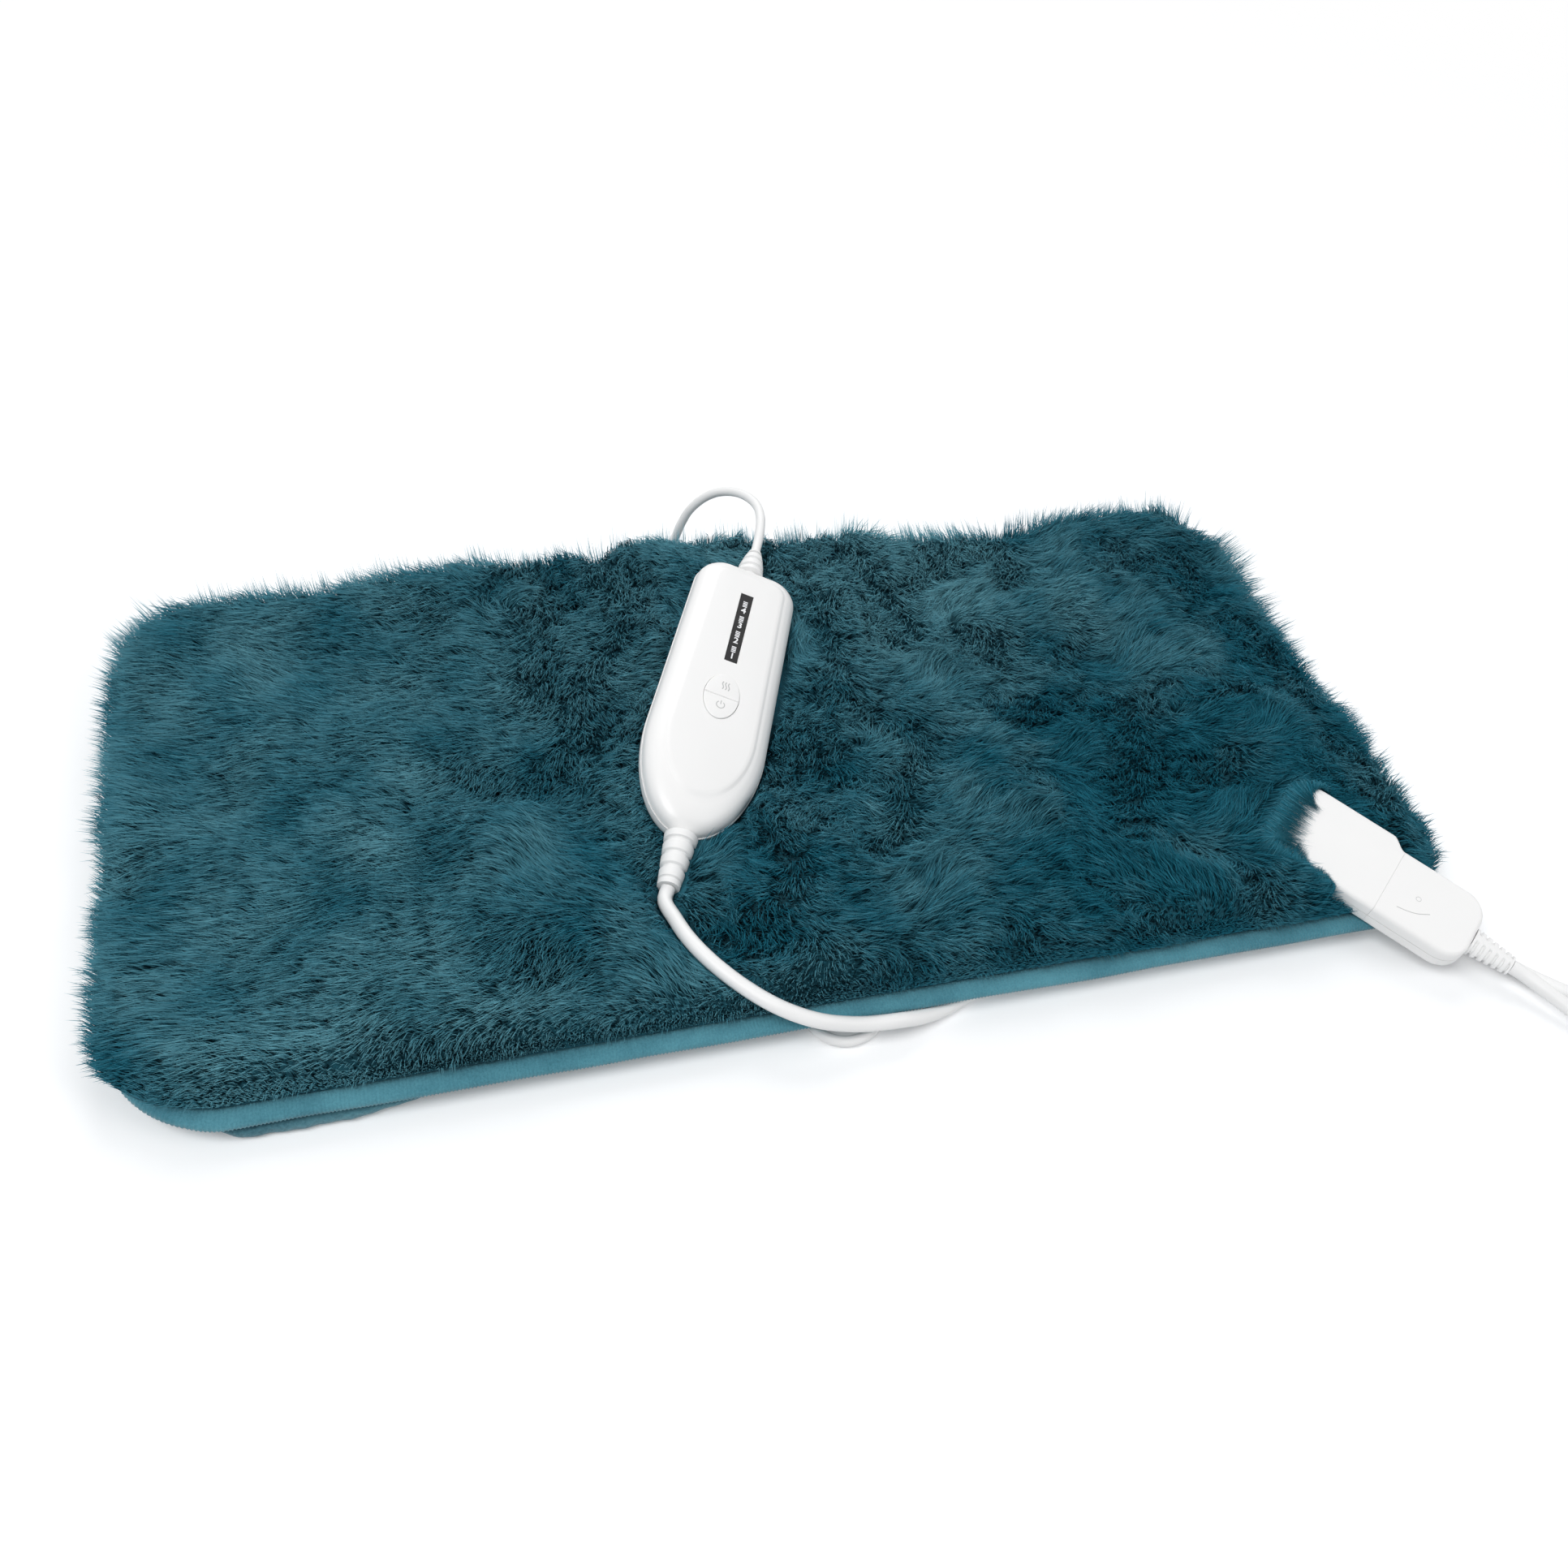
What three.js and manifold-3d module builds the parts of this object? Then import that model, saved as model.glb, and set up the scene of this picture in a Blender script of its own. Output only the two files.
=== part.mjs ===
// Electric heating pad with a hand controller and a plug-in lead, at real size in millimetres.
// +X runs along the pad, +Y to its back edge, +Z up. The origin is under the middle of the pad.
import * as THREE from "three";
import { mergeVertices } from "three/addons/utils/BufferGeometryUtils.js";
import Module from "manifold-3d";

const wasm = await Module();
wasm.setup();
const { Manifold, Mesh: SolidMesh } = wasm;

// Driving sizes of the pad
const padLength = 600;
const padWidth = 300;
const padCorner = 42;
const pileOverhang = 4;
const frontSetback = 5;
const pileTop = 34;
const pileEdgeTop = 22;
const pileRimTop = 30;
const pileShoulderTop = 32.5;
const bindingWidth = 11;
const bindingHeight = 6;
const edgeLift = 7.6;
const edgeFlat = 14.5;
const edgeFall = 24;
const backThick = 1.2;
const feltThick = 2.5;
const wireRadius = 0.8;
const waddingThick = 7;
const waddingShoulder = 4;
const waddingRim = 1.5;
const ridgeX = 36;
const ridgeSlopeShare = 0.285;
const ridgeFlat = 22;
const ridgeFoot = 32;
const ridgeLift = 5.6;
const bindingDrop = 0.2;
const wireLeftInset = 28;
const wireRightInset = 44;
const wireReturnInset = 12;
const thermalLength = 12;
const thermalRadius = 1.7;

// Clearances
const gap = 0.3;
const soft = 0.6;
const overrun = 4;
const openAbove = 60;
const mergeTolerance = 1e-4;

// Driving sizes of the controller, in its own frame: x across, y to its top end, z out of its face
const ctlLength = 168;
const ctlWidth = 60.3;
const ctlTopWidth = 54.1;
const ctlTipReach = 55.4;
const ctlCorner = 15.3;
const ctlFace = 11;
const ctlBack = 11;
const ctlWall = 2.2;
const ctlNestClear = 0.4;
const ctlCentre = [-24.9, 18.2, 44];
const ctlAzimuth = 24.3;
const ctlTilt = 9.1;
const ctlRoll = 17.4;
const windowLength = 45.9;
const windowWidth = 6.7;
const windowThick = 1.6;
const windowAt = 38.4;
const moduleInset = 1;
const buttonsAt = -7.3;
const buttonsWidth = 17.4;
const buttonsLength = 26.6;
const buttonSplit = 0.5;
const buttonProud = 0.6;
const buttonTravel = 0.6;
const flangeWide = 1.2;
const flangeThick = 1;
const stemRadius = 2;
const boardWidth = 38;
const boardThick = 1.6;
const boardTopClear = 3.8;
const boardTipClear = 7.8;
const boardTop = 0.6;
const screwRadius = 1.45;
const screwHeadRadius = 3;
const screwHeadThick = 1.7;
const screwHeadDepth = 3;
const bossRadius = 4.2;
const bossClear = 0.35;
const topBossX = 18.5;
const topBossInset = 18;
const tipBossX = 16;
const tipBossInset = 34;
const topBossHeight = 7;
const standoffRadius = 2.5;
const standoffX = 15;
const switchSize = 6;
const switchHeight = 3.1;
const plungerRadius = 1.6;
const plungerFoot = 1.6;
const triacWidth = 10;
const triacLength = 15;
const triacThick = 4.5;
const triacInset = 23;
const triacSide = 7;
const fuseRadius = 2.5;
const fuseLength = 20;
const fuseInset = 18;
const fuseSide = 8;

// Driving sizes of the cords and their strain reliefs
const leadRadius = 3.4;
const mainsRadius = 2.5;
const topReliefLength = 18;
const topReliefRadius = 7;
const topReliefTip = 3.4;
const topReliefRibs = 3;
const topReliefBulgeShare = 0.22;
const tipReliefLength = 28;
const tipReliefRadius = 7.85;
const tipReliefTip = 5.15;
const tipReliefRibs = 4;
const reliefNeck = 4.4;
const reliefFlange = 6.2;
const reliefFlangeThick = 2.2;
const topReliefSeat = 7.6;
const tipReliefSeat = 12.6;
const tableClear = 0.05;

// Driving sizes of the connector, in its own frame: x to the near side, y outwards, z out of its top
const jointInsetX = 42.6;
const jointInsetY = 4.5;
const jointHeight = 29;
const plugAzimuth = 139.2;
const plugDip = 10;
const plugBank = 9.2;
const plugWidth = 39.8;
const plugLength = 44.3;
const plugThick = 13;
const plugCorner = 12.1;
const plugWall = 2.2;
const plugTravel = 20;
const socketLength = 58;
const socketStep = 5.5;
const socketCorner = 13;
const insertWidth = 29.4;
const insertReach = 18;
const insertThick = 6.2;
const insertRoot = 8;
const insertCollar = 1.6;
const contactPitch = 9;
const contactOuter = 1.9;
const contactInner = 1.35;
const contactLength = 12;
const pinRadius = 1;
const pinTail = 3;
const tailNear = 4;
const tailFar = -6;
const tailInset = 12;
const blockLength = 10;
const plugReliefLength = 20;
const plugReliefWidth = 15;
const plugReliefTip = 10.5;
const plugReliefThick = 10.6;
const plugReliefNeck = 3.7;
const plugReliefFlange = 12;
const plugScrewRadius = 1.4;

// Driving sizes of the mains plug and of the hank of spare mains cord
const mainsPlugWidth = 35.3;
const mainsPlugThick = 13.7;
const mainsPlugLength = 36;
const mainsPlugEnd = 12;
const mainsPlugY = 181;
const mainsReliefLength = 22;
const mainsReliefBase = 5.45;
const mainsReliefTip = 3.5;
const mainsPinLength = 19;
const mainsPinRadius = 2;
const mainsPinSpacing = 18.6;
const hankCentreX = -135;
const hankCentreY = 174;
const hankRun = 90;
const hankInner = 15;
const hankPitch = 6;
const hankLayer = 5.6;
const hankTurns = 2.75;
const hankClimb = 1.5;
const hankClimbShare = 0.25;
const hankWaist = 9;
const hankRise = 2;
const tieWidth = 10;
const tieThick = 1.4;

const cloth = (colour) => new THREE.MeshStandardMaterial({ color: colour, roughness: 0.95, metalness: 0 });
const plastic = (colour) => new THREE.MeshStandardMaterial({ color: colour, roughness: 0.4, metalness: 0 });
const metal = (colour) => new THREE.MeshStandardMaterial({ color: colour, roughness: 0.3, metalness: 1 });

const part = new THREE.Group();

function piece(name, geometry, material, parent = part) {
  const mesh = new THREE.Mesh(geometry, material);
  mesh.name = name;
  parent.add(mesh);
  return mesh;
}

// A closed mesh from its corners and faces, turned so that its faces point out
function closed(points, faces) {
  let volume = 0;
  for (const [a, b, c] of faces) {
    volume += points[a].dot(new THREE.Vector3().crossVectors(points[b], points[c]));
  }
  const turned = volume < 0 ? faces.map(([a, b, c]) => [a, c, b]) : faces;
  const geometry = new THREE.BufferGeometry();
  geometry.setAttribute("position", new THREE.Float32BufferAttribute(points.flatMap((p) => p.toArray()), 3));
  geometry.setIndex(turned.flat());
  return geometry;
}

function solid(geometry) {
  const plain = geometry.clone();
  plain.deleteAttribute("normal");
  plain.deleteAttribute("uv");
  const merged = mergeVertices(plain, mergeTolerance);
  return new Manifold(
    new SolidMesh({
      numProp: 3,
      vertProperties: merged.attributes.position.array,
      triVerts: new Uint32Array(merged.index.array),
    }),
  );
}

function shape(body) {
  const mesh = body.getMesh();
  const geometry = new THREE.BufferGeometry();
  geometry.setAttribute("position", new THREE.BufferAttribute(new Float32Array(mesh.vertProperties), 3));
  geometry.setIndex(Array.from(mesh.triVerts));
  return geometry;
}

function cut(geometry, ...tools) {
  return shape(tools.reduce((body, tool) => body.subtract(solid(tool)), solid(geometry)));
}

function join(geometry, ...more) {
  return shape(more.reduce((body, other) => body.add(solid(other)), solid(geometry)));
}

// A skin through rings with the same number of corners, closed by a fan at each end
function loft(rings) {
  const count = rings[0].length;
  const middle = (ring) => ring.reduce((sum, p) => sum.add(p), new THREE.Vector3()).divideScalar(count);
  const points = [...rings.flat(), middle(rings[0]), middle(rings[rings.length - 1])];
  const first = points.length - 2;
  const last = points.length - 1;
  const faces = [];
  for (let i = 0; i < count; i += 1) {
    const next = (i + 1) % count;
    const end = (rings.length - 1) * count;
    faces.push([first, next, i]);
    faces.push([last, end + i, end + next]);
    for (let ring = 0; ring + 1 < rings.length; ring += 1) {
      const low = ring * count;
      const high = low + count;
      faces.push([low + i, low + next, high + next]);
      faces.push([low + i, high + next, high + i]);
    }
  }
  return closed(points, faces);
}

function box(x0, x1, y0, y1, z0, z1) {
  const geometry = new THREE.BoxGeometry(x1 - x0, y1 - y0, z1 - z0);
  return geometry.translate((x0 + x1) / 2, (y0 + y1) / 2, (z0 + z1) / 2);
}

// A round bar standing on z0 and reaching z1, or lying along y
function post(x, y, z0, z1, radius, sides = 12) {
  const geometry = new THREE.CylinderGeometry(radius, radius, z1 - z0, sides);
  return geometry.rotateX(Math.PI / 2).translate(x, y, (z0 + z1) / 2);
}

function rod(x, z, y0, y1, radius, sides = 12) {
  return new THREE.CylinderGeometry(radius, radius, y1 - y0, sides).translate(x, (y0 + y1) / 2, z);
}

// A frame with its y axis along an azimuth and a rise, banked about it, as a group
function placed(centre, azimuth, rise, bank) {
  const turn = THREE.MathUtils.degToRad;
  const along = new THREE.Vector3(
    Math.sin(turn(azimuth)) * Math.cos(turn(rise)),
    Math.cos(turn(azimuth)) * Math.cos(turn(rise)),
    Math.sin(turn(rise)),
  );
  const level = new THREE.Vector3(Math.cos(turn(azimuth)), -Math.sin(turn(azimuth)), 0);
  const lifted = new THREE.Vector3().crossVectors(level, along);
  const across = level.clone().multiplyScalar(Math.cos(turn(bank)));
  across.addScaledVector(lifted, -Math.sin(turn(bank)));
  const out = new THREE.Vector3().crossVectors(across, along);
  const group = new THREE.Group();
  group.quaternion.setFromRotationMatrix(new THREE.Matrix4().makeBasis(across, along, out));
  group.position.fromArray(centre);
  group.updateMatrixWorld(true);
  part.add(group);
  return group;
}

const joint = [padLength / 2 - jointInsetX, jointInsetY - padWidth / 2, jointHeight];
const controller = placed(ctlCentre, ctlAzimuth, ctlTilt, ctlRoll);
const connector = placed(joint, plugAzimuth, -plugDip, plugBank);
const inWorld = (group, geometry) => geometry.clone().applyMatrix4(group.matrixWorld);
const worldPoint = (group, x, y, z) => group.localToWorld(new THREE.Vector3(x, y, z));

// Cord routes, as points chosen by hand from the photograph, with ends on their strain reliefs
const topReliefEnd = ctlLength / 2 + topReliefLength;
const tipReliefEnd = -ctlLength / 2 - tipReliefLength;
const plugReliefMid = -plugThick / 2;
const plugReliefEnd = plugLength + gap + plugReliefLength;
const point = (x, y, z) => new THREE.Vector3(x, y, z);
const onTable = (radius) => radius + tableClear;
const leadZ = onTable(leadRadius);
const mainsZ = onTable(mainsRadius);

const leadRoute = [
  worldPoint(controller, 0, tipReliefEnd - gap, 0),
  worldPoint(controller, 0, tipReliefEnd - 2 * leadRadius, 0),
  point(-71.5, -101, 27),
  point(-68.4, -116, 29.5),
  point(-61.2, -130, 28.5),
  point(-50.4, -143.1, 25.5),
  point(-38, -154.6, 23.2),
  point(-23.1, -161.2, 19),
  point(-3.9, -162.3, 12.7),
  point(13.1, -162.6, 11),
  point(26.4, -159.4, 6.2),
  point(37.5, -155.5, 3.7),
  point(48, -151.2, leadZ),
  point(60, -146.6, leadZ),
  point(76, -143.6, leadZ),
  point(100, -143.2, leadZ),
  point(130, -143.2, leadZ),
  point(160, -143.2, leadZ),
  point(190, -143.2, leadZ),
  point(218, -143.2, leadZ),
  point(240, -144, leadZ),
  point(258, -147, leadZ),
  point(274, -154, leadZ),
  point(289, -166, leadZ),
  point(304, -184, leadZ),
  point(317, -200, leadZ),
  point(332, -213, leadZ),
  point(352, -219, leadZ),
  point(374, -219, leadZ),
  point(394, -226, leadZ),
  point(404, -243, leadZ),
  point(402, -262, leadZ),
  point(388, -276, leadZ),
  point(369, -279, leadZ),
  point(350, -270, leadZ),
  point(337, -254, leadZ),
  point(327, -238, 4.4),
  point(318, -222, 6.5),
  point(308.5, -206.5, 9.3),
  worldPoint(connector, 0, plugReliefEnd + 2 * leadRadius, plugReliefMid),
  worldPoint(connector, 0, plugReliefEnd + gap, plugReliefMid),
];

const hankOuter = hankInner + hankClimb * hankPitch;
const hankEnd = hankCentreX + hankRun / 2 + 2 * mainsRadius;
const mainsRoute = [
  worldPoint(controller, 0, topReliefEnd + gap, 0),
  worldPoint(controller, 0, topReliefEnd + 3 * mainsRadius, 0),
  point(22.6, 124, 63.5),
  point(25.6, 134.5, 65.5),
  point(26.2, 145.5, 66),
  point(23.2, 156, 65.2),
  point(17, 165, 63),
  point(9.4, 171, 59),
  point(2.4, 174.4, 53),
  point(-3.6, 176, 45.6),
  point(-7.6, 176.9, 37),
  point(-10.6, 177.6, 28),
  point(-14.4, 178.9, 19),
  point(-20.6, 181.4, 11),
  point(-30, 185, 5.2),
  point(-42, 189.4, 2.9),
  point(-56, 193.6, mainsZ),
  point(hankEnd + 5 * mainsRadius, hankCentreY + hankOuter - 1, mainsZ),
  point(hankEnd + 2 * mainsRadius, hankCentreY + hankOuter, mainsZ),
  point(hankEnd + gap, hankCentreY + hankOuter, mainsZ),
];

const hankExit = hankInner + (hankTurns - hankClimb - hankClimbShare) * hankPitch;
const hankExitZ = mainsZ + hankLayer;
const mainsReliefEnd = mainsPlugEnd + mainsPlugLength + gap + mainsReliefLength;
const mainsPlugZ = mainsPlugThick / 2;
const underRoute = [
  point(hankEnd + gap, hankCentreY - hankExit, hankExitZ),
  point(hankEnd + 2 * mainsRadius, hankCentreY - hankExit, hankExitZ),
  point(-68, 152.9, 6.2),
  point(-55, 152.2, 3.6),
  point(-40, 150.4, mainsZ),
  point(-20, 147.4, mainsZ),
  point(0, 145, mainsZ),
  point(20, 144, mainsZ),
  point(35, 142.8, mainsZ),
  point(46.5, 137, mainsZ),
  point(53.2, 127, mainsZ),
  point(54.4, 115, mainsZ),
  point(47.6, 90, mainsZ),
  point(36.2, 50, mainsZ),
  point(24.8, 10, mainsZ),
  point(13.4, -30, mainsZ),
  point(2, -70, mainsZ),
  point(-9.4, -105, mainsZ),
  point(-18.6, -126, mainsZ),
  point(-22, -140, mainsZ),
  point(-22.4, -149, mainsZ),
  point(-18, -158, mainsZ),
  point(-9.8, -162.6, mainsZ),
  point(-0.6, -161.4, mainsZ),
  point(7, -155.4, mainsZ),
  point(10.2, -146, mainsZ),
  point(12.6, -134, mainsZ),
  point(20, -110, mainsZ),
  point(31.4, -72, mainsZ),
  point(44.2, -30, mainsZ),
  point(56.6, 14, mainsZ),
  point(68, 54, mainsZ),
  point(79.4, 94, mainsZ),
  point(90, 131, mainsZ),
  point(96, 150, mainsZ),
  point(98.4, 163, 3),
  point(95.4, 174, 4.2),
  point(86.6, mainsPlugY - 0.6, 6),
  point(mainsReliefEnd + 3 * mainsRadius, mainsPlugY, mainsPlugZ),
  point(mainsReliefEnd + gap, mainsPlugY, mainsPlugZ),
];

function cordTube(route, radius, steps) {
  const section = new THREE.Shape();
  const sides = 8;
  for (let i = 0; i < sides; i += 1) {
    const turn = (2 * Math.PI * (i + 0.5)) / sides;
    const reach = [radius * Math.cos(turn), radius * Math.sin(turn)];
    if (i === 0) section.moveTo(...reach);
    else section.lineTo(...reach);
  }
  const extrudePath = new THREE.CatmullRomCurve3(route, false, "centripetal");
  return new THREE.ExtrudeGeometry(section, { steps, extrudePath, curveSegments: 1 });
}

// The pad's layers share one grid of stations, so the gap between two layers is the same everywhere
const halfX = padLength / 2 + pileOverhang;
const halfY = padWidth / 2 + pileOverhang;
const rimX = padLength / 2 - bindingWidth - soft;
const rimY = padWidth / 2 - bindingWidth - soft;
const foldX = rimX - edgeFlat - edgeFall;
const foldY = rimY - edgeFlat - edgeFall;
const leftShares = [0.13, 0.27, 0.4, 0.53, 0.66, 0.78, 0.89];
const rightShares = [0.2, 0.4, 0.6, 0.8];
const depthShares = [-2 / 3, -1 / 3, 0, 1 / 3, 2 / 3];
const ridgeLeft = ridgeX - ridgeFoot;
const ridgeRight = ridgeX + ridgeFoot;
const stationsX = [
  -halfX,
  -rimX,
  -rimX + edgeFlat,
  -foldX,
  ...leftShares.map((share) => -foldX + share * (ridgeLeft + foldX)),
  ridgeLeft,
  ridgeX - ridgeFlat,
  ridgeX,
  ridgeX + ridgeFlat,
  ridgeRight,
  ...rightShares.map((share) => ridgeRight + share * (foldX - ridgeRight)),
  foldX,
  rimX - edgeFlat,
  rimX,
  halfX,
];
const stationsY = [
  frontSetback - padWidth / 2,
  -rimY,
  -rimY + edgeFlat,
  -foldY,
  ...depthShares.map((share) => share * foldY),
  foldY,
  rimY - edgeFlat,
  rimY,
  halfY,
];

// The border is drawn out a little at the front and on the left
const frontDraw = 8;
const leftDraw = 6;
const drawReach = bindingWidth + soft + edgeFlat;

function drawnOut(x, y) {
  const ahead = Math.max(0, drawReach - padWidth / 2 - y) / drawReach;
  const aside = Math.max(0, drawReach - padLength / 2 - x) / drawReach;
  return [x - leftDraw * aside, y - frontDraw * ahead];
}

// Where a station lies: slanted along the ridge, and drawn round at the four corners
function stationPlace(s, t) {
  const outside = s < ridgeLeft ? (s + foldX) / (ridgeLeft + foldX) : (foldX - s) / (foldX - ridgeRight);
  const slant = Math.min(1, Math.max(0, outside));
  const x = s + ridgeSlopeShare * t * slant;
  const radius = padCorner + pileOverhang;
  const u = (Math.abs(x) - halfX + radius) / radius;
  const v = (Math.abs(t) - halfY + radius) / radius;
  if (u <= 0 || v <= 0) return drawnOut(x, t);
  const ring = Math.max(u, v) * radius;
  const turn = u >= v ? (Math.PI / 4) * (v / u) : Math.PI / 2 - (Math.PI / 4) * (u / v);
  return drawnOut(
    Math.sign(x) * (halfX - radius + ring * Math.cos(turn)),
    Math.sign(t) * (halfY - radius + ring * Math.sin(turn)),
  );
}

const edgeDistance = (s, t) => Math.min(rimX - Math.abs(s), rimY - Math.abs(t));
const inwards = (distance) => Math.min(1, Math.max(0, distance / edgeFlat));
const falling = (distance) => Math.min(1, Math.max(0, (distance - edgeFlat) / edgeFall));

function underside(s, t) {
  const edge = edgeLift * (1 - falling(edgeDistance(s, t)));
  const beside = Math.max(0, Math.abs(s - ridgeX) - ridgeFlat) / (ridgeFoot - ridgeFlat);
  return Math.max(edge, ridgeLift * Math.max(0, 1 - beside));
}

const backTop = (s, t) => underside(s, t) + backThick;
const feltBottom = (s, t) => backTop(s, t) + gap;
const feltTop = (s, t) => feltBottom(s, t) + feltThick;
const wireSpace = (s, t) => (2 * wireRadius + gap) * inwards(edgeDistance(s, t));
const waddingBottom = (s, t) => feltTop(s, t) + gap + wireSpace(s, t);
const waddingDepth = (s, t) => {
  const distance = edgeDistance(s, t);
  const shoulder = waddingRim + (waddingShoulder - waddingRim) * inwards(distance);
  return shoulder + (waddingThick - waddingShoulder) * falling(distance);
};
const waddingTop = (s, t) => waddingBottom(s, t) + waddingDepth(s, t);
const coverBottom = (s, t) => waddingTop(s, t) + gap;

// Swells and dents of the pile: place as shares of the half length and width, height as a share
// of the pile's top and reach as a share of the half width
const swellShares = [
  { x: -0.083, y: 0.5, height: 0.47, reach: 0.413 },
  { x: 0.12, y: 1, height: 0.35, reach: 0.4 },
  { x: 0.87, y: 0.93, height: 0.2, reach: 0.3 },
  { x: -0.4, y: 0.93, height: 0.15, reach: 0.33 },
  { x: 0.62, y: 0.55, height: 0.12, reach: 0.4 },
  { x: 0.84, y: -0.35, height: 0.18, reach: 0.413 },
  { x: -0.72, y: 0.35, height: 0.09, reach: 0.533 },
  { x: -0.82, y: 0.1, height: -0.13, reach: 0.23 },
  { x: -0.83, y: -0.47, height: -0.13, reach: 0.23 },
  { x: -0.64, y: -0.36, height: 0.1, reach: 0.3 },
  { x: -0.42, y: 0.1, height: -0.15, reach: 0.24 },
  { x: -0.37, y: -0.9, height: -0.15, reach: 0.23 },
  { x: -0.53, y: -0.83, height: 0.09, reach: 0.2 },
  { x: 0.03, y: -0.27, height: -0.15, reach: 0.2 },
  { x: 0.27, y: 0.3, height: -0.16, reach: 0.23 },
  { x: 0.1, y: -0.79, height: -0.12, reach: 0.21 },
  { x: 0.29, y: -0.4, height: 0.13, reach: 0.24 },
  { x: 0.59, y: 0.1, height: -0.18, reach: 0.23 },
  { x: 0.6, y: -0.48, height: -0.15, reach: 0.21 },
  { x: 0.75, y: 0.07, height: 0.12, reach: 0.24 },
  { x: 0.37, y: -0.79, height: -0.15, reach: 0.2 },
  { x: 0.51, y: -0.83, height: 0.12, reach: 0.21 },
  { x: -1, y: -0.27, height: -0.1, reach: 0.2 },
];
const edgeSwell = 0.5;
const rimSwell = 0.75;

function swellHeight(x, y) {
  return swellShares.reduce((sum, swell) => {
    const away = Math.hypot(x - (swell.x * padLength) / 2, y - (swell.y * padWidth) / 2);
    const reach = (swell.reach * padWidth) / 2;
    return sum + swell.height * pileTop * Math.exp(-((away / reach) ** 2));
  }, 0);
}

function coverTop(s, t) {
  const swell = swellHeight(...stationPlace(s, t));
  const outer = Math.abs(s) > rimX || Math.abs(t) > rimY;
  if (outer) return pileEdgeTop + edgeSwell * swell;
  const distance = edgeDistance(s, t);
  const rim = pileRimTop + (pileShoulderTop - pileRimTop) * inwards(distance);
  const level = rim + (pileTop - pileShoulderTop) * falling(distance);
  const held = rimSwell + (1 - rimSwell) * inwards(distance);
  const ridge = Math.max(0, 1 - Math.abs(s - ridgeX) / ridgeFoot);
  return level + held * swell + ridgeLift * ridge * inwards(distance);
}

// A layer between two heights, over the stations left after trimming the outer ones
function layer(bottom, top, trim) {
  const columns = stationsX.slice(trim, stationsX.length - trim);
  const rows = stationsY.slice(trim, stationsY.length - trim);
  const points = [];
  for (const level of [bottom, top]) {
    for (const t of rows) {
      for (const s of columns) {
        points.push(point(...stationPlace(s, t), level(s, t)));
      }
    }
  }
  const wide = columns.length;
  const deep = rows.length;
  const lid = wide * deep;
  const faces = [];
  for (let j = 0; j + 1 < deep; j += 1) {
    for (let i = 0; i + 1 < wide; i += 1) {
      const a = j * wide + i;
      const b = a + 1;
      const c = a + wide + 1;
      const d = a + wide;
      faces.push([a, c, b], [a, d, c], [lid + a, lid + b, lid + c], [lid + a, lid + c, lid + d]);
    }
  }
  const rim = [];
  for (let i = 0; i + 1 < wide; i += 1) rim.push(i);
  for (let j = 0; j + 1 < deep; j += 1) rim.push(j * wide + wide - 1);
  for (let i = wide - 1; i > 0; i -= 1) rim.push((deep - 1) * wide + i);
  for (let j = deep - 1; j > 0; j -= 1) rim.push(j * wide);
  rim.forEach((a, k) => {
    const b = rim[(k + 1) % rim.length];
    faces.push([a, b, lid + b], [a, lid + b, lid + a]);
  });
  return closed(points, faces);
}

// The controller's outline, drawn in at its sides, its round tip and its top end
const ctlPoints = { tip: 12, side: 3, corner: 5, top: 2 };

function ctlRing(sideInset, tipInset, topInset, z) {
  const half = ctlLength / 2;
  const widest = ctlWidth / 2 - sideInset;
  const topHalf = ctlTopWidth / 2 - sideInset;
  const tipLine = -half + ctlTipReach;
  const corner = Math.max(ctlCorner - topInset, ctlWall);
  const right = [];
  for (let i = 0; i < ctlPoints.tip; i += 1) {
    const turn = (Math.PI / 2) * (i / ctlPoints.tip);
    right.push([widest * Math.sin(turn), tipLine - (ctlTipReach - tipInset) * Math.cos(turn)]);
  }
  const cornerLine = half - topInset - corner;
  for (let i = 0; i < ctlPoints.side; i += 1) {
    const share = i / ctlPoints.side;
    right.push([widest + (topHalf - widest) * share, tipLine + (cornerLine - tipLine) * share]);
  }
  for (let i = 0; i <= ctlPoints.corner; i += 1) {
    const turn = (Math.PI / 2) * (i / ctlPoints.corner);
    right.push([topHalf - corner + corner * Math.cos(turn), cornerLine + corner * Math.sin(turn)]);
  }
  for (let i = 1; i < ctlPoints.top; i += 1) {
    right.push([(topHalf - corner) * (1 - i / ctlPoints.top), half - topInset]);
  }
  const left = right.slice(1).reverse().map(([x, y]) => [-x, y]);
  return [...right, ...left].map(([x, y]) => point(x, y, z));
}

const shellRings = (rows) => loft(rows.map((row) => ctlRing(...row)));
const seam = gap / 2;

// Steps of the controller's shells, from the seam to the flat face, as shares of the face's height:
// how far the side, the tip and the top end are drawn in, and how far up the step lies
const topOuterShares = [
  [0.045, 0.045, 0.045, 0],
  [0.073, 0.091, 0.073, 0.29],
  [0.236, 0.364, 0.218, 0.595],
  [0.509, 0.909, 0.455, 0.797],
  [0.818, 1.636, 0.782, 0.935],
  [1, 1.909, 0.955, 1],
];
const topInnerShares = [
  [0.055, 0.055, 0.055, 0],
  [0.091, 0.127, 0.091, 0.3],
  [0.309, 0.618, 0.273, 0.618],
  [0.673, 1.527, 0.618, 0.873],
  [1.073, 2.164, 1.073, 1],
];
const backOuterShares = [
  [0, 0, 0, 0],
  [0.027, 0.027, 0.027, 0.351],
  [0.164, 0.218, 0.164, 0.676],
  [0.455, 0.582, 0.455, 0.908],
  [0.818, 1.091, 0.818, 1],
];
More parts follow.
